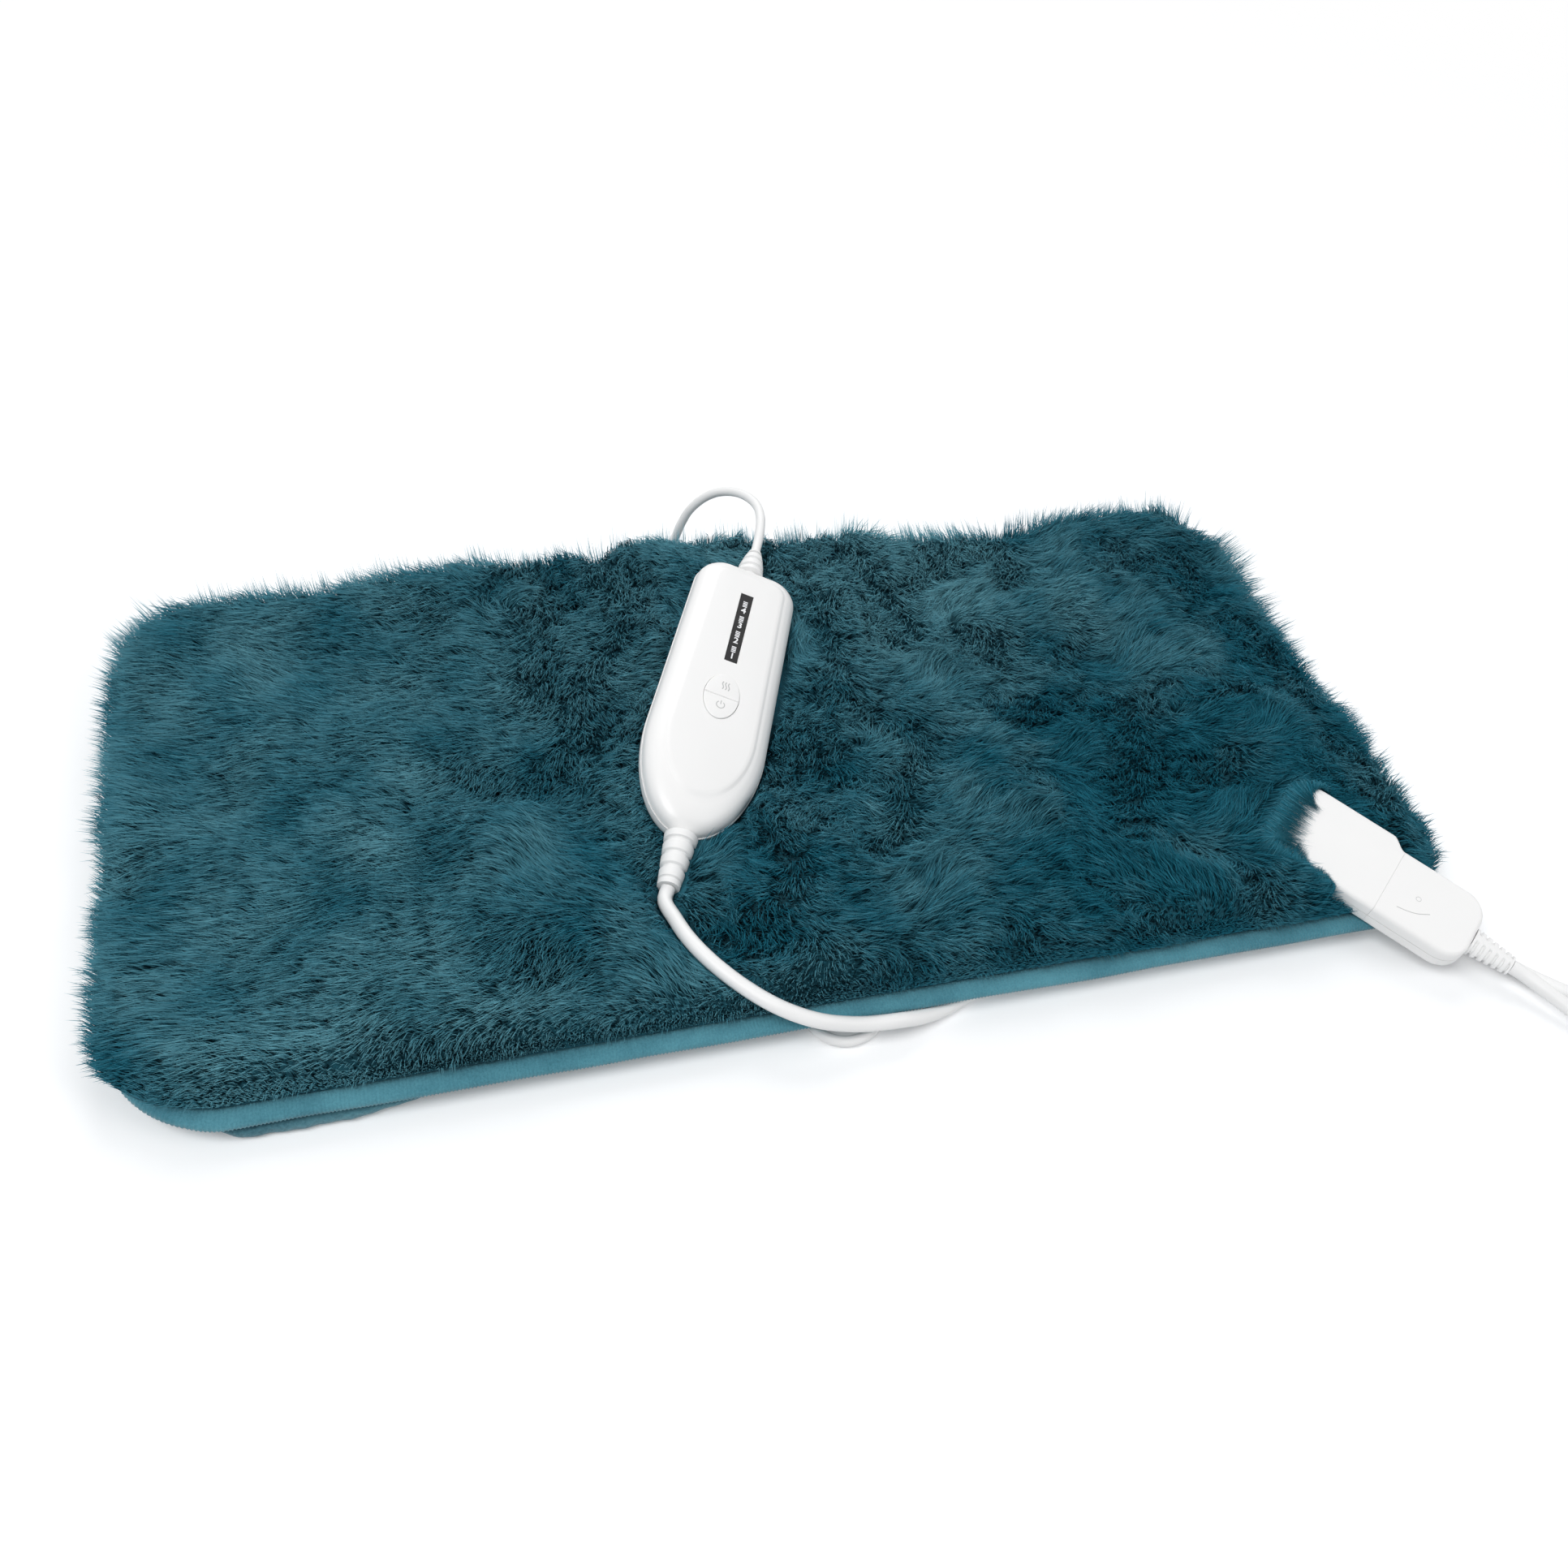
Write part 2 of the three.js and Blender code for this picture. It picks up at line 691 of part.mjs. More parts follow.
const backInnerShares = [
  [0.036, 0.036, 0.036, 0],
  [0.064, 0.064, 0.064, 0.415],
  [0.255, 0.345, 0.255, 0.746],
  [0.664, 0.891, 0.664, 1],
];

// Rows of insets and a height for a shell that is drawn in by a wall and ends at a ceiling
function insetRows(shares, wall, ceiling) {
  const side = Math.sign(ceiling);
  return shares.map(([across, tip, top, up]) => [
    wall + across * ctlFace,
    wall + tip * ctlFace,
    wall + top * ctlFace,
    side * seam + up * (ceiling - side * seam),
  ]);
}

const backOuter = insetRows(backOuterShares, 0, -ctlBack);

const topEnd = ctlLength / 2;
const reliefHole = rod(0, 0, topEnd - topReliefSeat, topEnd + overrun, reliefNeck + gap, 16);
const tipHole = rod(0, 0, -topEnd - overrun, -topEnd + tipReliefSeat, reliefNeck + gap, 16);
const topBossY = topEnd - topBossInset;
const tipBossY = tipBossInset - topEnd;
const boardHigh = topBossY - bossRadius - boardTopClear;
const boardLow = tipBossY + bossRadius + boardTipClear;
const bosses = [
  [-topBossX, topBossY],
  [topBossX, topBossY],
  [-tipBossX, tipBossY],
  [tipBossX, tipBossY],
];
const screwSeat = -ctlBack + screwHeadDepth + screwHeadThick + gap;
const screwTop = topBossHeight - ctlWall;

function oval(extra, low, high, y0, y1) {
  const turns = 24;
  const ring = (z) =>
    Array.from({ length: turns }, (_, i) => {
      const turn = (2 * Math.PI * i) / turns;
      const x = (buttonsWidth / 2 + extra) * Math.cos(turn);
      const y = buttonsAt + (buttonsLength / 2 + extra) * Math.sin(turn);
      return point(x, Math.min(y1, Math.max(y0, y)), z);
    });
  return loft([ring(low), ring(high)]);
}

function controllerTop() {
  const outer = insetRows(topOuterShares, 0, ctlFace);
  const inner = insetRows(topInnerShares, ctlWall, ctlFace - ctlWall);
  const shell = shellRings([...outer.reverse(), ...inner]);
  const posts = bosses.map(([x, y]) => post(x, y, seam, topBossHeight, bossRadius - ctlWall / 3));
  const holes = bosses.map(([x, y]) => post(x, y, -overrun, screwTop + gap, screwRadius + bossClear));
  const window = box(
    -windowWidth / 2,
    windowWidth / 2,
    windowAt - windowLength / 2,
    windowAt + windowLength / 2,
    ctlFace / 2,
    ctlFace + overrun,
  );
  const far = buttonsLength;
  const opening = oval(gap, ctlFace / 2, ctlFace + overrun, buttonsAt - far, buttonsAt + far);
  return cut(join(shell, ...posts), window, opening, ...holes, reliefHole, tipHole);
}

function standoffs() {
  const low = boardLow + 2 * standoffRadius;
  const high = boardHigh - 2 * standoffRadius;
  return [
    [-standoffX, low],
    [standoffX, low],
    [-standoffX, high],
    [standoffX, high],
  ];
}

function controllerBack() {
  const inner = insetRows(backInnerShares, ctlWall, ctlWall - ctlBack);
  const shell = shellRings([...backOuter.slice().reverse(), ...inner]);
  const foot = ctlWall / 2 - ctlBack;
  const posts = bosses.map(([x, y]) => post(x, y, foot, -seam, bossRadius));
  const rests = standoffs().map(([x, y]) => post(x, y, foot, boardTop - boardThick - gap, standoffRadius));
  const holes = bosses.map(([x, y]) => post(x, y, -ctlBack - overrun, overrun, screwRadius + bossClear));
  const sinkRadius = screwHeadRadius + bossClear;
  const sinks = bosses.map(([x, y]) => post(x, y, -ctlBack - overrun, screwSeat, sinkRadius));
  return cut(join(shell, ...posts, ...rests), ...holes, ...sinks, reliefHole, tipHole);
}

function screw(x, y) {
  const head = post(x, y, screwSeat - gap - screwHeadThick, screwSeat - gap, screwHeadRadius);
  return join(head, post(x, y, screwSeat - 2 * gap, screwTop, screwRadius));
}

// One node for each copy of a small piece, numbered from 1
function copies(name, geometries, material, parent) {
  geometries.forEach((geometry, i) => piece(`${name}_${i + 1}`, geometry, material, parent));
}

// A half-oval cap with a flange under the face and a stem over its switch
const capTop = ctlFace + buttonProud;
const flangeTop = ctlFace - ctlWall - gap;
const switchTop = boardTop + gap + switchHeight;
const plungerTop = switchTop + 2 * gap + buttonTravel;
const heatAt = buttonsAt + buttonsLength / 4;
const powerAt = buttonsAt - buttonsLength / 4;

function button(y0, y1, stemAt) {
  const cap = oval(0, flangeTop - flangeThick / 2, capTop, y0, y1);
  const flange = oval(flangeWide, flangeTop - flangeThick, flangeTop, y0, y1);
  const stem = post(0, stemAt, plungerTop + gap, flangeTop - flangeThick / 2, stemRadius);
  return join(cap, flange, stem);
}

function tactSwitch(y) {
  const half = switchSize / 2;
  const body = box(-half, half, y - half, y + half, boardTop + gap, switchTop);
  return cut(body, post(0, y, boardTop + plungerFoot - gap, switchTop + overrun, plungerRadius + gap));
}

const plunger = (y) => post(0, y, boardTop + plungerFoot + buttonTravel, plungerTop, plungerRadius);

// Shares of a rib's pitch at which it starts and ends, and of the sleeve at which a groove's floor lies
const ribShares = { from: 0.35, to: 0.95, spare: 0.6, floorFrom: 0.02, floorTo: 0.06 };

// A relief turned about the y axis: flange, neck, then the tapered sleeve with its grooves
function relief(wallAt, seat, length, base, tip, ribs, bulgeShare) {
  const inner = wallAt - seat;
  const start = wallAt + soft;
  const end = wallAt + length;
  const outline = [
    [0, inner - reliefFlangeThick],
    [reliefFlange, inner - reliefFlangeThick],
    [reliefFlange, inner],
    [reliefNeck, inner],
    [reliefNeck, start],
    [base * (1 - bulgeShare), start],
  ];
  const rise = (share) => base + (tip - base) * share ** (1 + bulgeShare * ribs);
  const groove = (base - tip) / 4;
  for (let i = 0; i < ribs; i += 1) {
    const from = (i + ribShares.from) / (ribs + ribShares.spare);
    const to = (i + ribShares.to) / (ribs + ribShares.spare);
    const at = (share) => start + share * (end - start);
    outline.push([rise(from), at(from)], [rise(to), at(to)]);
    if (i + 1 < ribs) {
      const floor = rise(to) - groove;
      outline.push([floor, at(to + ribShares.floorFrom)], [floor, at(to + ribShares.floorTo)]);
    }
  }
  outline.push([tip, end - soft], [tip, end], [0, end]);
  return new THREE.LatheGeometry(outline.map(([r, y]) => new THREE.Vector2(r, y)), 16);
}

// The connector's outline: a straight end at y0, and an end at y1 with round corners
function endRing(near, far, y0, y1, nearRadius, farRadius, inset, z) {
  const steps = 5;
  const ring = [];
  const direction = Math.sign(y1 - y0);
  const arc = (radius, side, edge) => {
    const r = Math.max(radius - inset, plugWall / 2);
    const cx = edge - side * (inset + r);
    const cy = y1 - direction * (inset + r);
    for (let i = 0; i <= steps; i += 1) {
      const share = side > 0 ? i / steps : 1 - i / steps;
      const turn = (Math.PI / 2) * share;
      ring.push(point(cx + side * r * Math.cos(turn), cy + direction * r * Math.sin(turn), z));
    }
  };
  ring.push(point(near - inset, y0 + direction * inset, z));
  arc(nearRadius, 1, near);
  arc(farRadius, -1, far);
  ring.push(point(far + inset, y0 + direction * inset, z));
  return ring;
}

const half = plugWidth / 2;
const parting = -plugThick / 2;
const plugRing = (inset, z) => endRing(half, -half, gap / 2, plugLength, plugCorner, plugCorner, inset, z);
const socketFar = -half - socketStep;
const socketRing = (inset, z) =>
  endRing(half, socketFar, -gap / 2, -socketLength, plugCorner / 3, socketCorner, inset, z);

// Round edges of the connector's shells: insets and depths as shares of its thickness
const edgeShares = [
  [0.2, 0],
  [0.07, 0.062],
  [0.008, 0.185],
];
const innerEdgeShares = [
  [0, 0.062],
  [0.092, 0],
];
const plugBossShare = 2.4;

// A half shell from its parting plane to its flat face, hollow inside
function halfShell(ring, top) {
  const side = top ? 1 : -1;
  const face = top ? 0 : -plugThick;
  const rim = parting + side * seam;
  const step = (wall) => ([inset, depth]) =>
    ring(wall + inset * plugThick, face - side * (wall + depth * plugThick));
  return loft([
    ...edgeShares.map(step(0)),
    ring(0, rim),
    ring(plugWall, rim),
    ...innerEdgeShares.map(step(plugWall)),
  ]);
}

const insertTop = parting + insertThick / 2;
const insertBottom = parting - insertThick / 2;
const insertMouth = box(
  -insertWidth / 2 - gap,
  insertWidth / 2 + gap,
  -plugWall - overrun,
  plugWall + 2 * gap,
  insertBottom - gap,
  insertTop + gap,
);
const contactsAt = [-contactPitch, 0, contactPitch];
const plugReliefHole = rod(
  0,
  plugReliefMid,
  plugLength - plugWall - overrun,
  plugLength + overrun,
  plugReliefNeck + gap,
);
const plugScrewY = plugLength - plugCorner;
const plugScrewX = half - plugCorner;
const plugScrews = [
  [-plugScrewX, plugScrewY],
  [plugScrewX, plugScrewY],
];

function plugShell(top) {
  const shell = halfShell(plugRing, top);
  const low = top ? parting + seam : plugWall / 2 - plugThick;
  const high = top ? -plugWall / 2 : parting - seam;
  const posts = plugScrews.map(([x, y]) => post(x, y, low, high, plugScrewRadius * plugBossShare));
  const reach = top ? -plugWall : parting + overrun;
  const holes = plugScrews.map(([x, y]) => post(x, y, -plugThick - overrun, reach, plugScrewRadius + gap));
  return cut(join(shell, ...posts), insertMouth, plugReliefHole, ...holes);
}

function plugInsert() {
  const tongue = box(-insertWidth / 2, insertWidth / 2, -insertReach, insertRoot, insertBottom, insertTop);
  const wide = insertWidth / 2 + insertCollar;
  const collar = box(
    -wide,
    wide,
    plugWall + insertCollar,
    insertRoot,
    insertBottom - insertCollar / 2,
    insertTop + insertCollar / 2,
  );
  const holes = contactsAt.map((x) =>
    rod(x, parting, -insertReach - overrun, -insertReach + contactLength + 2 * gap, contactOuter + gap),
  );
  return cut(join(tongue, collar), ...holes);
}

function plugContact(x) {
  const start = -insertReach + gap;
  const sleeve = rod(x, parting, start, start + contactLength, contactOuter);
  return cut(sleeve, rod(x, parting, start - overrun, start + contactLength - soft, contactInner));
}

const plugTaperShares = [0, 0.3, 0.65, 1];

function plugRelief() {
  const ring = (y, wide, thick) =>
    Array.from({ length: 16 }, (_, i) => {
      const turn = (2 * Math.PI * i) / 16;
      return point((wide / 2) * Math.cos(turn), y, plugReliefMid + (thick / 2) * Math.sin(turn));
    });
  const wallIn = plugLength - plugWall - 2 * soft;
  const start = plugLength + gap;
  const end = start + plugReliefLength;
  const neck = 2 * plugReliefNeck;
  const tipThick = 2 * leadRadius + soft;
  const taper = (share) => {
    const wide = plugReliefWidth + (plugReliefTip - plugReliefWidth) * share;
    const thick = plugReliefThick + (tipThick - plugReliefThick) * share;
    return [start + share * (end - start), wide, thick];
  };
  return loft([
    ring(wallIn - reliefFlangeThick, plugReliefFlange, neck + gap),
    ring(wallIn, plugReliefFlange, neck + gap),
    ring(wallIn, neck, neck),
    ring(start, neck, neck),
    ...plugTaperShares.map((share) => ring(...taper(share))),
  ]);
}

const blockEnd = -insertReach - 3 * gap;
const socketPinEnd = blockEnd - blockLength - pinTail;

function socketShell(top) {
  const shell = halfShell(socketRing, top);
  const mouth = box(
    -insertWidth / 2 - 2 * gap,
    insertWidth / 2 + 2 * gap,
    -plugWall - overrun,
    overrun,
    insertBottom - 2 * gap,
    insertTop + 2 * gap,
  );
  return cut(shell, mouth);
}

// The block that carries the pins stands on the socket's floor, with its foot let in all round
function socketBlock() {
  const wide = insertWidth / 2;
  const foot = plugWall - plugThick + gap;
  const body = box(-wide, wide, blockEnd - blockLength, blockEnd, foot, -plugWall - gap);
  const holes = contactsAt.map((x) =>
    rod(x, parting, blockEnd - blockLength - overrun, blockEnd + overrun, pinRadius + gap),
  );
  return cut(body, ...holes);
}

const socketPinTip = contactLength - insertReach - 2 * gap - soft;
const socketPin = (x) => rod(x, parting, socketPinEnd, socketPinTip, pinRadius);

// Where the heating wire comes up into the socket
const tailHeight = -plugThick + plugWall + 2 * gap + wireRadius;
const tailY = tailInset - socketLength;
const wireTails = [tailNear, tailFar].map((x) => worldPoint(connector, x, tailY, tailHeight));
const tailHole = ({ x, y, z }, low) => post(x, y, low, z + overrun, wireRadius + 1.5 * gap, 8);

// Hollows cut into the pile and the wadding for the hard pieces, open above
const nestSideShare = 0.3;
const [, , ...nestRows] = backOuter.map((row) => row.map((size) => size - ctlNestClear));
const nestSide = [-ctlNestClear, -ctlNestClear, -ctlNestClear];
const controllerNest = shellRings([
  ...nestRows.reverse(),
  [...nestSide, -nestSideShare * ctlBack],
  [...nestSide, openAbove],
]);
const tipNest = box(
  -tipReliefRadius - gap,
  tipReliefRadius + gap,
  tipReliefEnd - overrun,
  -topEnd + overrun,
  -tipReliefRadius - gap,
  openAbove,
);
const topNest = box(
  -topReliefRadius - soft,
  topReliefRadius + soft,
  topEnd - overrun,
  topReliefEnd + overrun,
  -topReliefRadius - soft,
  openAbove,
);
const connectorNest = box(
  socketFar - soft,
  half + soft,
  -socketLength - soft,
  plugReliefEnd + plugTravel,
  -plugThick - gap,
  openAbove,
);

// A trench that follows a cord over the pile, with its floor under the cord
function trench(route, radius) {
  const wide = radius + 2 * soft;
  const deep = radius + 2 * soft;
  const rings = route.map((at, i) => {
    const before = route[Math.max(0, i - 1)];
    const after = route[Math.min(route.length - 1, i + 1)];
    const side = point(after.y - before.y, before.x - after.x, 0).setLength(wide);
    return [
      point(at.x - side.x, at.y - side.y, at.z - deep),
      point(at.x + side.x, at.y + side.y, at.z - deep),
      point(at.x + side.x, at.y + side.y, at.z + openAbove),
      point(at.x - side.x, at.y - side.y, at.z + openAbove),
    ];
  });
  return loft(rings);
}

const leadCurve = new THREE.CatmullRomCurve3(leadRoute.slice(0, 11), false, "centripetal");
const leadTrench = trench(leadCurve.getSpacedPoints(24), leadRadius);

function furCover() {
  const cover = layer(coverBottom, coverTop, 0);
  return cut(
    cover,
    inWorld(controller, controllerNest),
    inWorld(controller, tipNest),
    inWorld(controller, topNest),
    inWorld(connector, connectorNest),
    leadTrench,
    ...wireTails.map((tail) => tailHole(tail, 0)),
  );
}

function wadding() {
  return cut(
    layer(waddingBottom, waddingTop, 1),
    inWorld(connector, connectorNest),
    ...wireTails.map((tail) => tailHole(tail, 0)),
    ...fuses.map(([x, y]) => fusePocket(x, y)),
  );
}

// A round tube through a line of corners, mitred at each corner
function mitred(route, radius, sides) {
  const rings = route.map((at, i) => {
    const into = point(0, 0, 0).subVectors(at, route[Math.max(0, i - 1)]);
    const out = point(0, 0, 0).subVectors(route[Math.min(route.length - 1, i + 1)], at);
    if (i === 0) into.copy(out);
    if (i === route.length - 1) out.copy(into);
    return { at, into: into.normalize(), out: out.normalize() };
  });
  let side = point(0, 0, 1);
  if (Math.abs(rings[0].into.z) > 0.9) side = point(1, 0, 0);
  return rings.map(({ at, into, out }) => {
    side.addScaledVector(into, -side.dot(into)).normalize();
    const other = point(0, 0, 0).crossVectors(into, side);
    const plane = point(0, 0, 0).addVectors(into, out).normalize();
    const ring = Array.from({ length: sides }, (_, k) => {
      const turn = (2 * Math.PI * k) / sides;
      const spoke = point(0, 0, 0)
        .addScaledVector(side, radius * Math.cos(turn))
        .addScaledVector(other, radius * Math.sin(turn));
      const slide = spoke.dot(plane) / into.dot(plane);
      return spoke.addScaledVector(into, -slide).add(at);
    });
    const turned = point(0, 0, 0).crossVectors(into, out);
    if (turned.length() > 1e-9) {
      side.applyAxisAngle(turned.clone().normalize(), into.angleTo(out));
    }
    return ring;
  });
}

const tube = (route, radius, sides) => loft(mitred(route, radius, sides));

// The heating wire: six runs joined by half turns, a return along the right side, and two tails
const wireRunShares = [0.9, 0.54, 0.18, -0.18, -0.54, -0.9];
const wireLeft = wireLeftInset - foldX;
const wireRight = foldX - wireRightInset;
const wireReturn = foldX - wireReturnInset;

function wireHeight(s, t) {
  return feltTop(s, t) + gap + wireRadius;
}

function heatingWire() {
  const route = [];
  const flatZ = wireHeight(-foldX, 0);
  const ridge = [ridgeLeft, ridgeX - ridgeFlat, ridgeX + ridgeFlat, ridgeRight];
  const rows = wireRunShares.map((share) => share * foldY);
  const [tailA, tailB] = wireTails;
  const foot = (tail) => point(tail.x, tail.y, wireHeight(tail.x, tail.y));
  const fold = (tail) => point(tail.x, -foldY, flatZ);
  route.push(tailA, foot(tailA), fold(tailA));
  route.push(point(wireReturn, -wireRunShares[0] * foldY, flatZ), point(wireReturn, rows[0], flatZ));
  rows.forEach((y, row) => {
    const leftwards = row % 2 === 0;
    const crossing = ridge.map((s) => point(s + ridgeSlopeShare * y, y, wireHeight(s, 0)));
    const ends = [point(wireLeft, y, flatZ), ...crossing, point(wireRight, y, flatZ)];
    route.push(...(leftwards ? ends.reverse() : ends));
    if (row + 1 === rows.length) return;
    const middle = (y + rows[row + 1]) / 2;
    const radius = (y - rows[row + 1]) / 2;
    const x = leftwards ? wireLeft : wireRight;
    const side = leftwards ? -1 : 1;
    for (let k = 1; k < 6; k += 1) {
      const turn = Math.PI * (k / 6);
      route.push(point(x + side * radius * Math.sin(turn), middle + radius * Math.cos(turn), flatZ));
    }
  });
  route.push(fold(tailB), foot(tailB), tailB);
  return tube(route, wireRadius, 6);
}

// Thermal fuses lie on the felt beside the wire, in pockets of the wadding
const thermalShares = [
  [-0.6, 0.36],
  [0.55, 0.36],
];
const fuses = thermalShares.map(([x, y]) => [x * foldX, y * foldY]);
const thermalZ = wireHeight(-foldX, 0) - wireRadius + thermalRadius;

function thermalFuse(x, y) {
  const body = new THREE.CylinderGeometry(thermalRadius, thermalRadius, thermalLength, 10);
  return body.rotateZ(Math.PI / 2).translate(x, y, thermalZ);
}

function fusePocket(x, y) {
  const long = thermalLength / 2 + soft;
  const wide = thermalRadius + soft;
  return box(x - long, x + long, y - wide, y + wide, 0, thermalZ + wide);
}

// The binding's section, as shares of its width and height
const bindingShares = [
  [0.12, 0.28],
  [0.35, 0],
  [0.65, 0],
  [1, 0.25],
  [1, 0.8],
  [0.65, 1],
  [0.35, 1],
  [0, 0.7],
];

function edgeBinding() {
  const cornerSteps = 6;
  const outlineAt = (inset) => {
    const ring = [];
    const radius = padCorner - inset;
    for (const [sx, sy, from] of [[1, 1, 0], [-1, 1, 1], [-1, -1, 2], [1, -1, 3]]) {
      for (let k = 0; k <= cornerSteps; k += 1) {
        const turn = (Math.PI / 2) * (from + k / cornerSteps);
        const x = sx * (padLength / 2 - padCorner) + radius * Math.cos(turn);
        const y = sy * (padWidth / 2 - padCorner) + radius * Math.sin(turn);
        ring.push(drawnOut(x, y));
      }
    }
    return ring;
  };
  const low = edgeLift - bindingDrop;
  const section = bindingShares.map(([across, up]) => ({
    ring: outlineAt(across * bindingWidth),
    z: low + up * bindingHeight,
  }));
  const count = section[0].ring.length;
  const points = section.flatMap(({ ring, z }) => ring.map(([x, y]) => point(x, y, z)));
  const faces = [];
  for (let k = 0; k < section.length; k += 1) {
    const a = k * count;
    const b = ((k + 1) % section.length) * count;
    for (let i = 0; i < count; i += 1) {
      const next = (i + 1) % count;
      faces.push([a + i, a + next, b + next], [a + i, b + next, b + i]);
    }
  }
  return closed(points, faces);
}

// The hank: flat loops on two layers, spiralling in and out, climbing along one run, drawn in at its waist
function hankRoute(stepsPerTurn) {
  const route = [];
  const count = Math.round(hankTurns * stepsPerTurn);
  for (let i = 0; i <= count; i += 1) {
    const turn = (hankTurns * i) / count;
    const sinceClimb = turn < hankClimb ? hankClimb - turn : Math.max(0, turn - hankClimb - hankClimbShare);
    const radius = hankInner + hankPitch * sinceClimb;
    const climb = Math.min(1, Math.max(0, (turn - hankClimb) / hankClimbShare));
    const phase = turn % 1;
    const quarter = Math.floor(phase * 4);
    const share = phase * 4 - quarter;
    const run = hankRun / 2;
    const waist = Math.sin(Math.PI * share) ** 2;
    let x = 0;
    let y = 0;
    let rise = 0;
    if (quarter === 0) {
      x = run - hankRun * share;
      y = radius - hankWaist * waist;
      rise = hankRise * waist;
    } else if (quarter === 1) {
      x = -run - radius * Math.sin(Math.PI * share);
      y = radius * Math.cos(Math.PI * share);
    } else if (quarter === 2) {
      x = -run + hankRun * share;
      y = -radius + hankWaist * waist;
      rise = hankRise * waist;
    } else {
      x = run + radius * Math.sin(Math.PI * share);
      y = -radius * Math.cos(Math.PI * share);
    }
    const z = mainsZ + climb * hankLayer + rise;
    route.push(point(hankCentreX + x, hankCentreY + y, z));
  }
  const straight = (end) => point(hankEnd, end.y, end.z);
  return [straight(route[0]), ...route, straight(route[count])];
}

function leastSelfGap(route, radius, window) {
  let least = Infinity;
  route.forEach((p, i) => {
    for (let j = i + window; j < route.length; j += 1) least = Math.min(least, p.distanceTo(route[j]));
  });
  return least - 2 * radius;
}

function cordTie() {
  const reach = hankPitch / 2 + hankOuter - hankWaist + mainsRadius;
  const high = onTable(mainsRadius) + hankRise + 3 * mainsRadius + 2 * gap;
  const low = tableClear + hankRise - tieThick - gap;
  const near = hankExit - hankWaist + mainsRadius + gap;
  const far = reach - hankPitch / 2 + gap;
  const outer = box(-tieWidth / 2, tieWidth / 2, -near - tieThick, far + tieThick, low, high + tieThick);
  const inner = box(-tieWidth, tieWidth, -near, far, low + tieThick, high);
  return cut(outer, inner).translate(hankCentreX, hankCentreY, 0);
}

// The mains plug's body: shares of its length, width and thickness
const mainsPlugShares = [
  [0, 0.915, 0.855],
  [0.042, 1, 1],
  [0.28, 1, 1],
  [0.556, 0.858, 1],
  [0.833, 0.567, 0.927],
  [1, 0.453, 0.825],
];

function mainsPlugBody() {
  const ring = ([along, wide, thick]) => {
    const x = mainsPlugEnd + along * mainsPlugLength;
    const w = (wide * mainsPlugWidth) / 2;
    const t = (thick * mainsPlugThick) / 2;
    const c = t / 2;
    const corners = [
      [w, c - t],
      [w, t - c],
      [w - c, t],
      [c - w, t],
      [-w, t - c],
      [-w, c - t],
      [c - w, -t],
      [w - c, -t],
    ];
    return corners.map(([y, z]) => point(x, mainsPlugY + y, mainsPlugZ + z));
  };
  return loft(mainsPlugShares.map(ring));
}

function lying(x0, x1, y, z, radius0, radius1, sides = 12) {
  const bar = new THREE.CylinderGeometry(radius1, radius0, x1 - x0, sides);
  return bar.rotateZ(-Math.PI / 2).translate((x0 + x1) / 2, y, z);
}

// Pad
const teal = cloth(0x2f7d86);
piece("back_cover", layer(underside, backTop, 1), cloth(0x4f97a0));
piece("heater_felt", layer(feltBottom, feltTop, 1), cloth(0xd9d6cd));
piece("heating_wire", heatingWire(), plastic(0xb5482f));
copies("thermal_fuse", fuses.map(([x, y]) => thermalFuse(x, y)), metal(0xb9bcc0), part);
piece("wadding", wadding(), cloth(0xece9e2));
piece("fur_cover", furCover(), teal);
piece("edge_binding", edgeBinding(), cloth(0x5d9fa6));

// Controller
const white = plastic(0xe9eaec);
const dark = plastic(0x2b2d31);
piece("controller_top", controllerTop(), white, controller);
piece("controller_back", controllerBack(), white, controller);
copies("controller_screw", bosses.map(([x, y]) => screw(x, y)), metal(0x9b9ea3), controller);
const ledTop = ctlFace - windowThick - gap;
piece(
  "display_window",
  box(
    gap - windowWidth / 2,
    windowWidth / 2 - gap,
    windowAt - windowLength / 2 + gap,
    windowAt + windowLength / 2 - gap,
    ledTop + gap,
    ctlFace,
  ),
  plastic(0x14161a),
  controller,
);
piece(
  "display_module",
  box(
    -windowWidth / 2 + gap,
    windowWidth / 2 - gap,
    windowAt - windowLength / 2 + moduleInset,
    windowAt + windowLength / 2 - moduleInset,
    boardTop + gap,
    ledTop,
  ),
  dark,
  controller,
);
const buttonFar = buttonsLength;
piece(
  "heat_button",
  button(buttonsAt + buttonSplit / 2, buttonsAt + buttonFar, heatAt),
  white,
  controller,
);
piece(
  "power_button",
  button(buttonsAt - buttonFar, buttonsAt - buttonSplit / 2, powerAt),
  white,
  controller,
);
piece("heat_switch", tactSwitch(heatAt), dark, controller);
piece("power_switch", tactSwitch(powerAt), dark, controller);
piece("heat_plunger", plunger(heatAt), white, controller);
piece("power_plunger", plunger(powerAt), white, controller);
piece(
  "circuit_board",
  box(-boardWidth / 2, boardWidth / 2, boardLow, boardHigh, boardTop - boardThick, boardTop),
  plastic(0x2f6b46),
  controller,
);
const underBoard = boardTop - boardThick - gap;
const triacEnd = boardHigh - triacInset;
const triacLeft = triacSide - triacWidth / 2;
piece(
  "triac",
  box(
    triacLeft,
    triacLeft + triacWidth,
    triacEnd - triacLength,
    triacEnd,
    underBoard - triacThick,
    underBoard,
  ),
  dark,
  controller,
);
const fuseStart = boardLow + fuseInset;
piece(
  "board_fuse",
  rod(-fuseSide, underBoard - fuseRadius, fuseStart, fuseStart + fuseLength, fuseRadius),
  metal(0xc9ccd0),
  controller,
);
